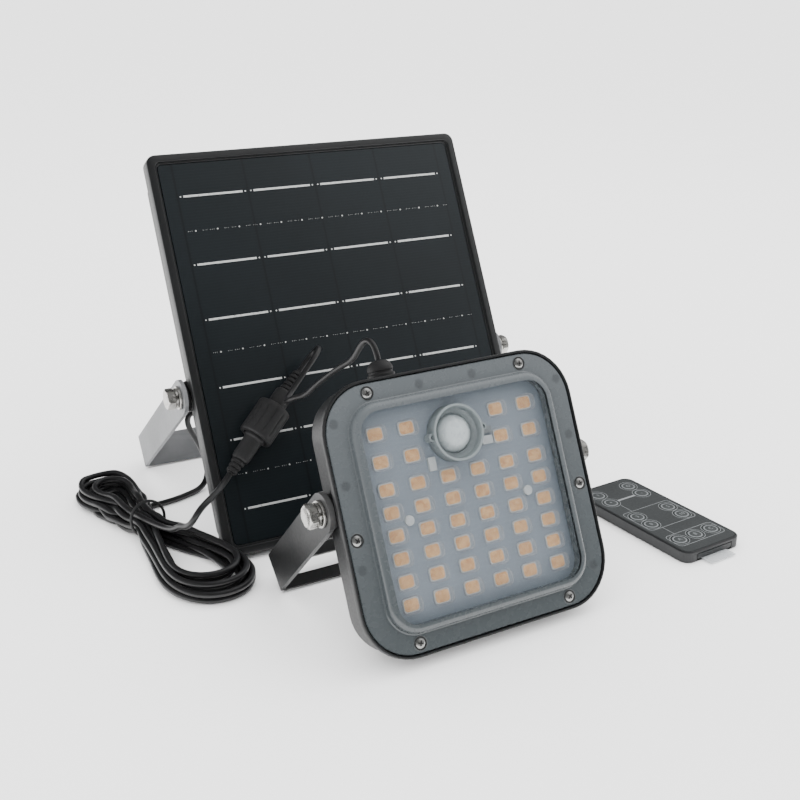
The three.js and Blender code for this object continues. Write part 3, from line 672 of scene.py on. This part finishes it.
zinc = zinc_plate("zinc")
screw_steel = zinc_plate("screw_steel", (0.42, 0.42, 0.41))
white_plastic = plain("white_plastic", (0.26, 0.275, 0.28), 0.35)
ribbon_silver = plain("ribbon_silver", (0.60, 0.61, 0.60), 0.3, 0.6, 700.0, 0.25)
remote_black = moulded("remote_black", (0.009, 0.010, 0.011), 0.5, grain=0.03, scale=800.0)
remote_top = moulded("remote_top", (0.018, 0.021, 0.022), 0.55, grain=0.02, scale=900.0)
key_rubber = moulded("key_rubber", (0.026, 0.030, 0.031), 0.5, grain=0.015, scale=900.0)
print_grey = plain("print_grey", (0.13, 0.14, 0.145), 0.5, 0.0, 800.0, 0.1)
print_white = plain("print_white", (0.17, 0.18, 0.185), 0.5, 0.0, 800.0, 0.08)
# flat black used as painted shade in the screws' hollows and crosses
painted_shade_black = plain("painted_shade_black", (0.004, 0.004, 0.004), 0.6, 0.0, 800.0, 0.1)
# the bead takes the same smoky grey with its painted top light, paler towards the top
smoky_bead_painted_top_light = smoky_border_painted_top_light("smoky_bead_painted_top_light", ())

# ------ panel


def at(x, y):
    return Matrix.Translation((x, y, 0))


def side_place(side, pivot):
    """The place of a pivot whose local Z points outward along X on the given side."""
    centre = Matrix.Translation((0, pivot["up"], -pivot["back"]))
    return centre @ Matrix.Rotation(side * math.pi / 2, 4, "Y")


def build_panel_frame():
    """The tub, its rim and the raised ribs and rivets on its back."""
    shape = Shape().stack([
        (162, 186, 2, -19), (162, 186, 2, -3.2), (171.6, 201.6, 2.5, -3.2), (171.6, 201.6, 2.5, -1.5),
        (172.2, 202.2, 2.6, -1.2), (173.6, 203.6, 3, -1.2), (174, 204, 3.2, -0.9), (174, 204, 3.2, -0.2),
        (174.5, 204.5, 3.4, 0), (180.4, 210.4, 4.4, 0), (181.6, 211.6, 4.8, -0.4), (182, 212, 5, -1.2),
        (182, 212, 5, -8.4), (181.2, 211.2, 4.6, -9), (177.6, 193.6, 5.4, -9), (176, 192, 5, -9.8),
        (176, 192, 5, -20.4), (175.2, 191.2, 4.7, -21.5), (173, 189, 4, -22), (60, 60, 4, -22),
    ], steps=6)
    for side in (-1, 1):
        shape.turned([
            (0, 84), (8.2, 84), (8.2, 90.6), (7.8, 91), (3.3, 91), (3.3, 88), (0, 88),
        ], 40, side_place(side, PANEL_PIVOT))
        for y in (-70, 0, 70):
            shape.turned([
                (0, -21.8), (4.2, -21.8), (4.2, -22.8), (3.8, -23.2), (2.2, -23.2), (2.2, -22.4),
                (0, -22.4),
            ], 24, at(side * 76, y))
    for x in (-52, 52):
        shape.box(x - 0.8, x + 0.8, -88, 88, -23, -21.8)
    new_piece("panel_frame", shape.mesh(), PANEL, black_housing, "set", ("panel_housing",))


def ribbon_dot(radius):
    return [(0, -1.4), (radius, -1.4), (radius, -1.27), (0, -1.27)]


def build_laminate():
    """The glass sheet and the silver ribbons that join its cells."""
    sheet = Shape().stack([
        (171, 201, 2.2, -2.9), (171, 201, 2.2, -1.45), (170.6, 200.6, 2, -1.3),
    ], steps=5)
    new_piece("panel_laminate", sheet.mesh(), PANEL, laminate("solar_laminate"), "set",
              ("solar_glass",))

    ribbons = Shape()
    for y in RIBBONS:
        for column in range(4):
            x0 = (column - 2) * COLUMN + 0.9
            x1 = x0 + COLUMN - 1.8
            ribbons.box(x0 + 2.2, x1 - 2.2, y - 0.55, y + 0.55, -1.4, -1.27)
            for x in (x0 + 0.7, x1 - 0.7):
                ribbons.turned(ribbon_dot(0.42), 12, at(x, y))
    for y in DOTTED_RIBBONS:
        for step in range(39):
            x = -76 + step * 4
            wide = step % 3 == 1
            half = 0.42 if wide else 0.16
            ribbons.turned(ribbon_dot(half), 10, at(x, y))
            if not wide:
                for dash in (1.0, 2.0):
                    ribbons.box(x + dash - 0.1, x + dash + 0.1, y - 0.12, y + 0.12, -1.4, -1.28)
    new_piece("cell_ribbons", ribbons.mesh(), PANEL, ribbon_silver, "set", ())


build_panel_frame()
build_laminate()

# ------ bolts and pads


def hexagon_ring(flats, radius_limit, height, segments=60):
    """A hexagon, trimmed to a circle, as one ring of points."""
    points = []
    for i in range(segments):
        angle = 2 * math.pi * i / segments
        within = (angle + math.pi / 6) % (math.pi / 3) - math.pi / 6
        reach = min(flats / 2 / math.cos(within), radius_limit)
        points.append((reach * math.cos(angle), reach * math.sin(angle), height))
    return points


def bolt_mesh(sheet_face, tip, place):
    """A hexagon bolt with a flat and a spring washer, its head outward."""
    flat = sheet_face + 0.3
    spring = flat + 1.2
    head = spring + 1.7
    top = head + 4.2
    shape = Shape()
    shape.turned([
        (0, tip), (2.4, tip), (2.95, tip + 0.8), (2.95, flat), (6.0, flat), (6.2, flat + 0.2),
        (6.2, spring - 0.2), (6.0, spring), (3.4, spring), (0, spring),
    ], 48, place)
    # The spring washer is a split ring whose ends step apart.
    turns = []
    for i in range(45):
        angle = math.radians(8 + 344 * i / 44)
        rise = spring + 0.25 + 0.28 * i / 44
        turns.append([
            place @ Vector((r * math.cos(angle), r * math.sin(angle), z))
            for r, z in ((3.3, rise), (5.3, rise), (5.3, rise + 1.1), (3.3, rise + 1.1))
        ])
    shape.rings(turns)
    shape.turned([(0, spring - 0.1), (3.1, spring - 0.1), (3.1, head + 0.2), (0, head + 0.2)], 24, place)
    levels = (
        (10, 5.0, head), (10, 5.7, head + 0.25), (10, 5.8, top - 0.75), (10, 5.25, top - 0.3),
        (9.4, 4.7, top), (7.6, 3.8, top - 0.02), (7.0, 3.4, top - 0.25), (1, 0.5, top - 0.3),
    )
    shape.rings([[place @ Vector(p) for p in hexagon_ring(*level)] for level in levels])
    return shape.mesh()


def pad_mesh(inner, outer, place):
    """A rubber friction washer with rounded rims and a scored edge."""
    low, high = inner + 0.3, outer - 0.3
    middle = (low + high) / 2
    return Shape().turned([
        (3.4, low), (7.4, low), (7.8, low + 0.3), (7.8, middle - 0.2), (7.55, middle), (7.8, middle + 0.2),
        (7.8, high - 0.3), (7.4, high), (3.4, high), (3.4, low),
    ], 48, place).mesh()


def build_hardware(unit, base, pivot):
    for side, label in ((-1, "left"), (1, "right")):
        place = side_place(side, pivot)
        inner = pivot["side"]
        outer = inner + pivot["pad"]
        bolt = bolt_mesh(outer + pivot["sheet"], inner - 9, place)
        new_piece(f"{unit}_bolt_{label}_set", bolt, base, zinc, "set",
                  (f"{unit}_bolt_{label}",), 30)
        pad = pad_mesh(inner, outer, place)
        new_piece(f"{unit}_pad_{label}_washer", pad, base, black_rubber, "set",
                  (f"{unit}_pad_{label}",))


build_hardware("panel", PANEL, PANEL_PIVOT)
build_hardware("lamp", LAMP, LAMP_PIVOT)

# ------ flood lamp

LED_ROWS = (37.1, 24.6, 12.2, 2.0, -8.2, -18.4, -28.6, -38.8)
LED_PLACES = [
    ((column - 2.5) * 15.84, y) for column in range(6) for row, y in enumerate(LED_ROWS)
    if row > 1 or column not in (2, 3)
]
PIR = (-1.5, 30.3)
COVER_SCREWS = ((-40.3, 55.4), (40.3, 55.4), (-59.6, -5.7), (59.6, -5.7), (-40.3, -55.4),
                (40.3, -55.4))
COVER_DOTS = ((-59, 45), (59, 45), (-59.5, 18), (59.5, 18), (-60, -18.5), (57.5, -44.5),
              (-14, 55), (14, 55))


def build_lamp_shell():
    """The lamp's housing, from the seat inside its rim round to its stepped back."""
    shape = Shape().stack([
        (90, 82, 8, -28.6), (90, 82, 8, -8.8), (103, 100.4, 11, -8.8), (103, 100.4, 11, -7),
        (128.4, 120.4, 22.7, -7), (128.4, 120.4, 22.7, -4), (128.9, 120.9, 22.9, -3.6),
        (130.2, 122.2, 23.6, -3.6), (130.8, 122.8, 23.9, -3.9), (131, 123, 24, -4.4), (131, 123, 24, -6.6),
        (130.4, 122.4, 23.7, -7.1), (129.6, 121.6, 23.3, -7.2), (126.6, 120.6, 21.8, -7.2),
        (125.4, 119.4, 21.2, -7.7), (125, 119, 21, -8.6), (125, 119, 21, -21.4),
        (124.2, 118.2, 20.6, -22.9), (122.2, 116.2, 19.6, -23.8), (120.2, 114.2, 18.6, -24),
        (100.4, 92.4, 13.2, -24), (98.6, 90.6, 12.3, -24.4), (98, 90, 12, -25.2),
        (98, 90, 12, -29), (97.2, 89.2, 11.6, -30.6), (94.4, 86.4, 10.2, -31.5),
        (40, 40, 6, -31.5),
    ], steps=10)
    new_piece("lamp_shell", shape.mesh(), LAMP, black_housing, "set", ("lamp_housing",))


WINDOW_CORNER = (39.1, 37.1)  # the middle of the clear window's corner arcs
WINDOW_RADIUS = 9.9


def build_cover():
    """The border, its raised bead and the clear window, as one moulding with three finishes."""
    shape = Shape().stack([
        (70, 62, 5, -1.8), (98.6, 94.6, 10, -1.8), (98.6, 94.6, 10, -5.8), (126.6, 118.6, 21.9, -5.8),
        (127.4, 119.4, 22.3, -5.3), (127.4, 119.4, 22.3, -4.5), (126.8, 118.8, 22, -4.1),
        (107.6, 103.6, 14.8, -4.1), (106.6, 102.6, 14.3, -3.8), (106, 102, 14, -3.1),
        (106, 102, 14, -2.5), (105.5, 101.5, 13.7, -1.5), (104.3, 100.3, 13.1, -0.7),
        (102.6, 98.6, 12.2, -0.15), (100.8, 96.8, 11.3, 0), (98.2, 94.2, 10, 0), (70, 62, 5, 0),
    ], steps=10)
    # the border's smoky grey carries painted top light, paler towards the top
    border = smoky_border_painted_top_light("smoky_border_painted_top_light", COVER_DOTS)
    cover = new_piece("cover_moulding", shape.mesh(), LAMP, border, "set", ("front_cover",),
                      30)
    cover.data.materials.append(smoky_bead_painted_top_light)
    window = thin_clear("window_clear", (0.10, 0.12, 0.13), 0.05, 0.22, 0.05)
    cover.data.materials.append(window)
    for facet in cover.data.polygons:
        x, y, z = (abs(c) / MM for c in facet.center)
        past_corner = math.hypot(max(0, x - WINDOW_CORNER[0]), max(0, y - WINDOW_CORNER[1]))
        if z < 2 and past_corner < WINDOW_RADIUS:
            facet.material_index = 2
        elif z < 4.05 and x < 53.2 and y < 51.2:
            facet.material_index = 1


def build_led_board():
    """The board with a pale frame and an amber light at each place."""
    board = Shape().stack([
        (101.4, 98.8, 10.2, -8.5), (102.2, 99.6, 10.5, -8.3), (102.2, 99.6, 10.5, -7.1),
        (101.4, 98.8, 10.2, -6.9),
    ])
    mask = masked_board("led_mask", (0.115, 0.138, 0.165), (0.16, 0.18, 0.20))
    new_piece("led_board_sheet", board.mesh(), LAMP, mask, "set", ("led_board",))
    frames = Shape()
    lights = Shape()
    for x, y in LED_PLACES:
        frames.stack([
            (8.0, 6.2, 1.2, -6.9), (8.0, 6.2, 1.2, -6.35), (7.7, 5.9, 1.1, -6.2),
        ], (x, y), 3)
        lights.stack([
            (7.1, 5.3, 1.5, -6.3), (7.1, 5.3, 1.5, -6.15), (6.3, 4.5, 1.2, -5.95),
        ], (x, y), 4)
    new_piece("led_frames", frames.mesh(), LAMP, white_plastic, "set", ())
    new_piece("led_phosphor", lights.mesh(), LAMP, phosphor("led_phosphor"), "set", ())


def build_lenses():
    """One clear pillow over each light."""
    sheet = Shape()
    for x, y in LED_PLACES:
        sheet.stack([
            (10.4, 7.9, 2.6, -5.6), (10.4, 7.9, 2.6, -5.2), (10.0, 7.5, 2.4, -4.3),
            (9.0, 6.6, 2.0, -3.7), (7.2, 4.9, 1.4, -3.35), (4.0, 2.4, 0.9, -3.25),
        ], (x, y), 5)
    # the pale tint shows mostly edge-on, as a painted sheen round each pillow
    clear = thin_clear("lens_clear", (0.42, 0.42, 0.41), 0.04, 0.55, 0.08)
    new_piece("lens_pillows", sheet.mesh(), LAMP, clear, "set", ("lens_sheet",), 60)


def build_sensor():
    x, y = PIR
    well = Shape().turned([
        (9.0, -6.6), (12.7, -6.6), (12.9, -6.3), (12.9, 0.4), (12.6, 0.75), (12.3, 0.8),
        (11.9, 0.7), (11.7, 0.3), (11.5, -3.6), (10.4, -4.6), (9.6, -5.4), (9.0, -5.4),
        (9.0, -6.6),
    ], 64, at(x, y))
    for dx, dy in ((-12.9, 0), (13.8, 0.2)):
        well.turned([
            (1.0, -5.8), (1.9, -5.8), (1.9, -1.2), (1.0, -1.2), (1.0, -5.8),
        ], 24, at(x + dx, y + dy))
    new_piece("sensor_well", well.mesh(), LAMP, plain("well_grey", (0.13, 0.15, 0.155), 0.35),
              "set", ("pir_well",))
    dome = Shape()
    profile = [(0, -6.6), (8.7, -6.6), (8.7, -5.6)]
    for step in range(1, 15):
        angle = math.radians(step * 90 / 15)
        facet = 0.06 * (step % 2)
        profile.append(((8.6 - facet) * math.cos(angle), -5.6 + (5.4 - facet) * math.sin(angle)))
    profile.append((0, -0.25))
    dome.turned(profile, 64, at(x, y))
    new_piece("sensor_dome", dome.mesh(), LAMP, plain("dome_milk", (0.30, 0.33, 0.34), 0.28),
              "set", ("pir_dome",), 30)
    chip = Shape().box(x + 16.2, x + 20.6, y - 3.4, y - 0.2, -6.9, -5.7)
    new_piece("sensor_chip", chip.mesh(), LAMP, plain("chip_dark", (0.10, 0.11, 0.115), 0.4),
              "set", ())
    tabs = Shape()
    tabs.box(x + 14.6, x + 20.2, y - 8.2, y - 4.4, -6.9, -5.5)
    tabs.box(x - 15.2, x - 11.6, y - 14.5, y - 8.4, -6.9, -5.5)
    for side in (-1, 1):
        tabs.turned([
            (0, -6.9), (2.4, -6.9), (2.3, -5.9), (1.4, -5.4), (0, -5.3),
        ], 24, at(side * 31.8, -3.0))
    new_piece("board_tabs", tabs.mesh(), LAMP, white_plastic, "set", ())


def build_screws():
    """Cross-head screws, each in a hollow with a raised lip; the shade in the hollow round the head and in
    the cross is painted as flat black marks.
    """
    for i, (x, y) in enumerate(COVER_SCREWS):
        here = shifted(LAMP, x, y, 0)
        screw = Shape().turned([
            (0, -15.1), (0.7, -15.1), (1.25, -14.2), (1.25, -5), (2.3, -5), (2.42, -4.6),
            (2.3, -3.95), (1.9, -3.62), (1.2, -3.45), (0, -3.42),
        ], 40)
        new_piece(f"cover_screw_{i + 1}_body", screw.mesh(), here, screw_steel, "set",
                  (f"cover_screw_{i + 1}",), 30)
        # painted shade: a black ring round the head and a black cross stand in for the shadow in the
        # hollow and in the slots
        dark = Shape()
        dark.turned([
            (2.46, -4.2), (3.15, -4.2), (3.15, -4.04), (2.46, -4.04), (2.46, -4.2),
        ], 40)
        corners = ((-1.35, -0.27), (1.35, -0.27), (1.35, 0.27), (-1.35, 0.27))
        for turn in (0.4, 0.4 + math.pi / 2):
            arm = Matrix.Rotation(turn + i, 4, "Z")
            dark.rings([[arm @ Vector((*corner, z)) for corner in corners] for z in (-3.8, -3.38)])
        new_piece(f"cover_screw_{i + 1}_recess_shade", dark.mesh(), here, painted_shade_black, "set", ())
        rim = Shape().turned([
            (3.15, -4.2), (3.45, -4.2), (3.42, -4.0), (3.28, -3.92), (3.15, -4.0), (3.15, -4.2),
        ], 40)
        new_piece(f"cover_screw_{i + 1}_rim", rim.mesh(), here, smoky_bead_painted_top_light, "set", ())


def build_gland(name, node, place, profile):
    new_piece(name, Shape().turned(profile, 48).mesh(), place, black_rubber, "set", (node,),
              30)


build_lamp_shell()
build_cover()
build_led_board()
build_lenses()
build_sensor()
build_screws()
build_gland("lamp_gland", "lamp_cable_gland", shifted(LAMP, -25.8, 59.8, -15.2) @ Z_TO_Y, [
    (0, 0), (6.2, 0), (6.4, 0.3), (6.4, 3.0), (6.1, 3.4), (5.5, 3.6), (5.5, 4.4), (5.9, 4.7),
    (5.9, 6.0), (5.6, 6.8), (5.0, 7.9), (4.2, 8.7), (3.2, 9.3), (2.2, 9.5), (1.6, 9.5), (1.6, 5),
    (0, 5),
])
build_gland("panel_gland", "panel_cable_gland", shifted(PANEL, -37.3, -36, -29.3) @ Z_TO_MINUS_X, [
    (0, 0), (5.3, 0), (5.5, 0.3), (5.5, 3.4), (5.2, 3.7), (4.6, 4), (4.6, 8.4), (4.3, 9.2),
    (3.4, 10.6), (2.4, 11), (1.8, 11), (1.8, 7), (0, 7),
])

# ------ connector and hank tie


def fluted_ring(radius, depth, height, count=96, flutes=12):
    points = []
    for i in range(count):
        angle = 2 * math.pi * i / count
        reach = radius - depth * max(0, math.cos(flutes * angle)) ** 6
        points.append((reach * math.cos(angle), reach * math.sin(angle), height))
    return points


def build_connector():
    place = CONNECTOR @ Z_TO_Y
    socket = [(0, -33.2), (1.7, -33.2), (2.3, -33)]
    for ring_at, radius in ((-31.4, 2.9), (-28.9, 3.2), (-26.4, 3.6)):
        socket += [(radius - 0.8, ring_at - 1.0), (radius, ring_at - 0.75), (radius + 0.15, ring_at),
                   (radius, ring_at + 0.75), (radius - 0.8, ring_at + 1.0)]
    socket += [(3.9, -25), (4.5, -24.2), (4.8, -22), (4.9, -12.8), (5.4, -12), (5.9, -11.5),
               (6, -11), (6, -0.6), (5.8, -0.4), (4, -0.4), (4, 2.8), (3.8, 3), (0, 3)]
    new_piece("connector_socket_body", Shape().turned(socket, 48).mesh(), place, black_rubber, "set",
              ("connector_socket",), 32)
    plug = [(0, 3.3), (4.3, 3.3), (4.3, 0), (5.8, 0), (6, 0.2), (6, 6.2), (5.6, 6.8),
            (5.05, 7.2), (4.95, 17.6), (4.7, 18.6), (4.2, 19.2)]
    for ring_at, radius in ((20.6, 3.7), (23.2, 3.4), (25.8, 3.1), (28.4, 2.9), (30.8, 2.6)):
        plug += [(radius - 0.7, ring_at - 1.05), (radius + 0.1, ring_at - 0.75), (radius + 0.2, ring_at),
                 (radius, ring_at + 0.75), (radius - 0.7, ring_at + 1.05)]
    plug += [(1.9, 32.3), (1.5, 32.6), (0, 32.6)]
    new_piece("connector_plug_body", Shape().turned(plug, 48).mesh(), place, black_rubber, "set",
              ("connector_plug",), 32)

    collar = Shape().rings([fluted_ring(*level) for level in (
        (6.5, 0, -10.4), (8.2, 0, -10.4), (8.7, 0, -10.1), (9.0, 0, -9.6), (9.0, 0, -8.2),
        (9.0, 0.55, -7.2), (9.0, 0.55, 5.4), (9.0, 0, 6.4), (9.0, 0, 8.2), (8.7, 0, 8.75),
        (8.1, 0, 9), (7.0, 0, 9), (6.3, 0, 8.4), (6.3, 0, -10.1),
    )], closed=True)
    new_piece("connector_collar", collar.mesh(), place, black_rubber, "collar", ("collar_nut",),
              32)


def build_tie():
    loop = []
    for i in range(96):
        angle = 2 * math.pi * i / 96
        outward = Vector((0, math.cos(angle), math.sin(angle)))
        slant = 1.6 * math.sin(angle)
        centre = Vector((TIE_ALONG + slant, 0, 10.45)) + 9.35 * outward
        loop.append([
            centre + outward * 0.75 * math.cos(b) + Vector((1, 0, 0)) * 1.0 * math.sin(b)
            for b in (2 * math.pi * k / 12 for k in range(12))
        ])
    tie = Shape().rings(loop, closed=True)
    new_piece("hank_tie_loop", tie.mesh(), HANK, black_rubber, "set", ("hank_tie",), 50)


build_connector()
build_tie()

# ------ remote control

KEYS = [(x, y) for x in (-32.8, -22.2, -1.8, 8.6, 29.2) for y in (-11.4, 0, 11.4)
        if y or x == 29.2]
KEY_LABELS = ("I", "O", "+", "-", "3", "5", "8", "10", "A", "B", "C")
REMOTE_TOP = 6.4


def label_mesh(text, size):
    """Raised letters round the origin in local millimetres, read with up along -X."""
    curve = bpy.data.curves.new("label", "FONT")
    curve.body = text
    curve.size = size
    curve.extrude = 0.02
    curve.align_x = "CENTER"
    curve.align_y = "CENTER"
    curve.resolution_u = 3
    holder = bpy.data.objects.new("label", curve)
    bpy.context.scene.collection.objects.link(holder)
    bpy.context.view_layer.update()
    mesh = bpy.data.meshes.new_from_object(holder.evaluated_get(bpy.context.evaluated_depsgraph_get()))
    bpy.data.objects.remove(holder)
    mesh.transform(Matrix.Rotation(math.pi / 2, 4, "Z"))
    return mesh


def outline(shape, width, height, radius, centre, line, low, high):
    """A printed frame: a thin closed band of rounded-rectangle outline."""
    shape.stack([
        (width - 2 * line, height - 2 * line, radius - line, low), (width, height, radius, low),
        (width, height, radius, high), (width - 2 * line, height - 2 * line, radius - line, high),
    ], centre, 6, closed=True)


def build_remote():
    for i, ((x, y), text) in enumerate(zip(KEYS, KEY_LABELS), 1):
        here = shifted(REMOTE, x, y, 0)
        key = Shape().turned([
            (0, 5.75), (4.35, 5.75), (4.35, 6.35), (4.15, 6.5), (3.9, 6.5), (3.75, 6.42),
            (3.3, 6.42), (3.0, 6.5), (1.6, 6.57), (0, 6.6),
        ], 48)
        new_piece(f"key_{i}_cap", key.mesh(), here, key_rubber, f"key_{i}",
                  (f"remote_key_{i}",), 40)
        letters = label_mesh(text, 3.4)
        marks = Shape().turned([
            (3.1, 6.45), (3.75, 6.42), (3.75, 6.46), (3.1, 6.52), (3.1, 6.45),
        ], 48)
        marks.add([Vector(v.co) + Vector((0, 0, 6.6)) for v in letters.vertices],
                  [tuple(p.vertices) for p in letters.polygons])
        new_piece(f"key_{i}_print", marks.mesh(), here, print_grey, f"key_{i}", ())

    art = Shape()
    low, high = REMOTE_TOP + 0.005, REMOTE_TOP + 0.03
    for x, y in KEYS:
        art.turned([
            (4.95, low), (5.2, low), (5.2, high), (4.95, high), (4.95, low),
        ], 48, at(x, y))
    outline(art, 22.9, 34.0, 2.6, (3.05, 0), 0.28, low, high)
    outline(art, 12.5, 33.4, 2.6, (29.25, 0), 0.28, low, high)
    art.box(-16.8, -8.4, -9.2, -8.95, low, high)
    art.box(14.5, 23.0, -9.2, -8.95, low, high)
    art.box(-22.9, -21.5, -6.2, 6.2, low, high)
    new_piece("remote_print", art.mesh(), REMOTE, print_white, "remote", ())


build_remote()

# ------ finishes on the other parts


def finish_nodes(names, material, bevel=0.0, smooth=35):
    """Gives CAD bodies that stay as they are their material and rounded edges."""
    for name in names:
        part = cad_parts[name]
        part.data.materials.clear()
        part.data.materials.append(material)
        if bevel:
            rounding = part.modifiers.new("rounded_edges", "BEVEL")
            rounding.width = bevel * MM
            rounding.segments = 2
            rounding.limit_method = "ANGLE"
            rounding.angle_limit = math.radians(smooth)


finish_nodes(["panel_bracket"], grey_steel, 0.35, 50)
finish_nodes(["lamp_bracket"], black_steel, 0.35, 50)
finish_nodes(["panel_junction_box", "rear_cover"], black_housing, 0.3, 40)
finish_nodes(["cell_board"], plain("backing_sheet", (0.02, 0.022, 0.026), 0.5))
finish_nodes(["cover_gasket"], black_rubber)
finish_nodes(["battery_pack"], plain("shrink_wrap", (0.02, 0.09, 0.30), 0.28, 0.0, 60.0, 0.25))
finish_nodes(["control_board", "remote_board"],
             masked_board("green_mask", (0.010, 0.085, 0.03), (0.03, 0.16, 0.06)))
finish_nodes(["remote_case", "battery_tray"], remote_black, 0.15, 40)
finish_nodes(["remote_overlay"], remote_top)
finish_nodes(["coin_cell"], zinc)
finish_nodes(["battery_pull_tab"], thin_clear("tab_film", (0.45, 0.47, 0.48), 0.5, 0.4, 0.1))
finish_nodes(["infrared_led"], plain("dark_lens", (0.012, 0.010, 0.014), 0.15))

# ------ studio

ROOM_LIGHT = 3.0


def add_studio():
    floor_mesh = Shape().box(-40000, 40000, -40000, 40000, -20, -0.05).mesh()
    floor = bpy.data.objects.new("studio_floor", floor_mesh)
    bpy.context.scene.collection.objects.link(floor)
    paper = Nodes("studio_paper")
    paper.set(Base_Color=(0.9, 0.9, 0.9, 1), Roughness=0.9, Specular_IOR_Level=0.1)
    floor_mesh.materials.append(paper.material)

    # A white room, which polished surfaces see as a dark one with a bright wall to the
    # upper right and a softer one to the left.
    world = bpy.data.worlds.new("studio_world")
    world.use_nodes = True
    tree = world.node_tree
    room = tree.nodes["Background"]

    def maths(operation, a, b):
        made = tree.nodes.new("ShaderNodeMath")
        made.operation = operation
        for socket, value in zip(made.inputs, (a, b)):
            if isinstance(value, bpy.types.NodeSocket):
                tree.links.new(value, socket)
            else:
                socket.default_value = value
        return made.outputs[0]

    def ramp(value, low, high, top):
        made = tree.nodes.new("ShaderNodeMapRange")
        made.interpolation_type = "SMOOTHSTEP"
        tree.links.new(value, made.inputs["Value"])
        for key, number in (("From Min", low), ("From Max", high), ("To Max", top)):
            made.inputs[key].default_value = number
        return made.outputs["Result"]

    split = tree.nodes.new("ShaderNodeSeparateXYZ")
    tree.links.new(tree.nodes.new("ShaderNodeTexCoord").outputs["Generated"], split.inputs[0])
    across, _, up = split.outputs
    right_wall = ramp(maths("ADD", across, up), 0.78, 1.45, 1.5)
    left_wall = ramp(maths("MULTIPLY", across, -1.0), 0.35, 0.95, 0.45)
    seen_in_gloss = maths("ADD", maths("ADD", right_wall, left_wall), 0.05)
    is_gloss = tree.nodes.new("ShaderNodeLightPath").outputs["Is Glossy Ray"]
    strength = maths("ADD", maths("MULTIPLY", maths("SUBTRACT", seen_in_gloss, ROOM_LIGHT), is_gloss),
                     ROOM_LIGHT)
    tree.links.new(strength, room.inputs["Strength"])
    room.inputs["Color"].default_value = (1, 1, 1, 1)
    bpy.context.scene.world = world

    for name, place, target, size, power in (
        ("key_softbox", (0.5, 0.2, 1.2), (0, 0, 0.05), 1.0, 7),
        ("fill_softbox", (-1.0, -0.6, 0.9), (0, 0, 0.08), 1.0, 4),
    ):
        data = bpy.data.lights.new(name, "AREA")
        data.shape = "SQUARE"
        data.size = size
        data.energy = power
        light = bpy.data.objects.new(name, data)
        aim = (Vector(target) - Vector(place)).to_track_quat("-Z", "Y").to_matrix().to_4x4()
        light.matrix_world = Matrix.Translation(place) @ aim
        light.visible_glossy = False
        bpy.context.scene.collection.objects.link(light)


add_studio()
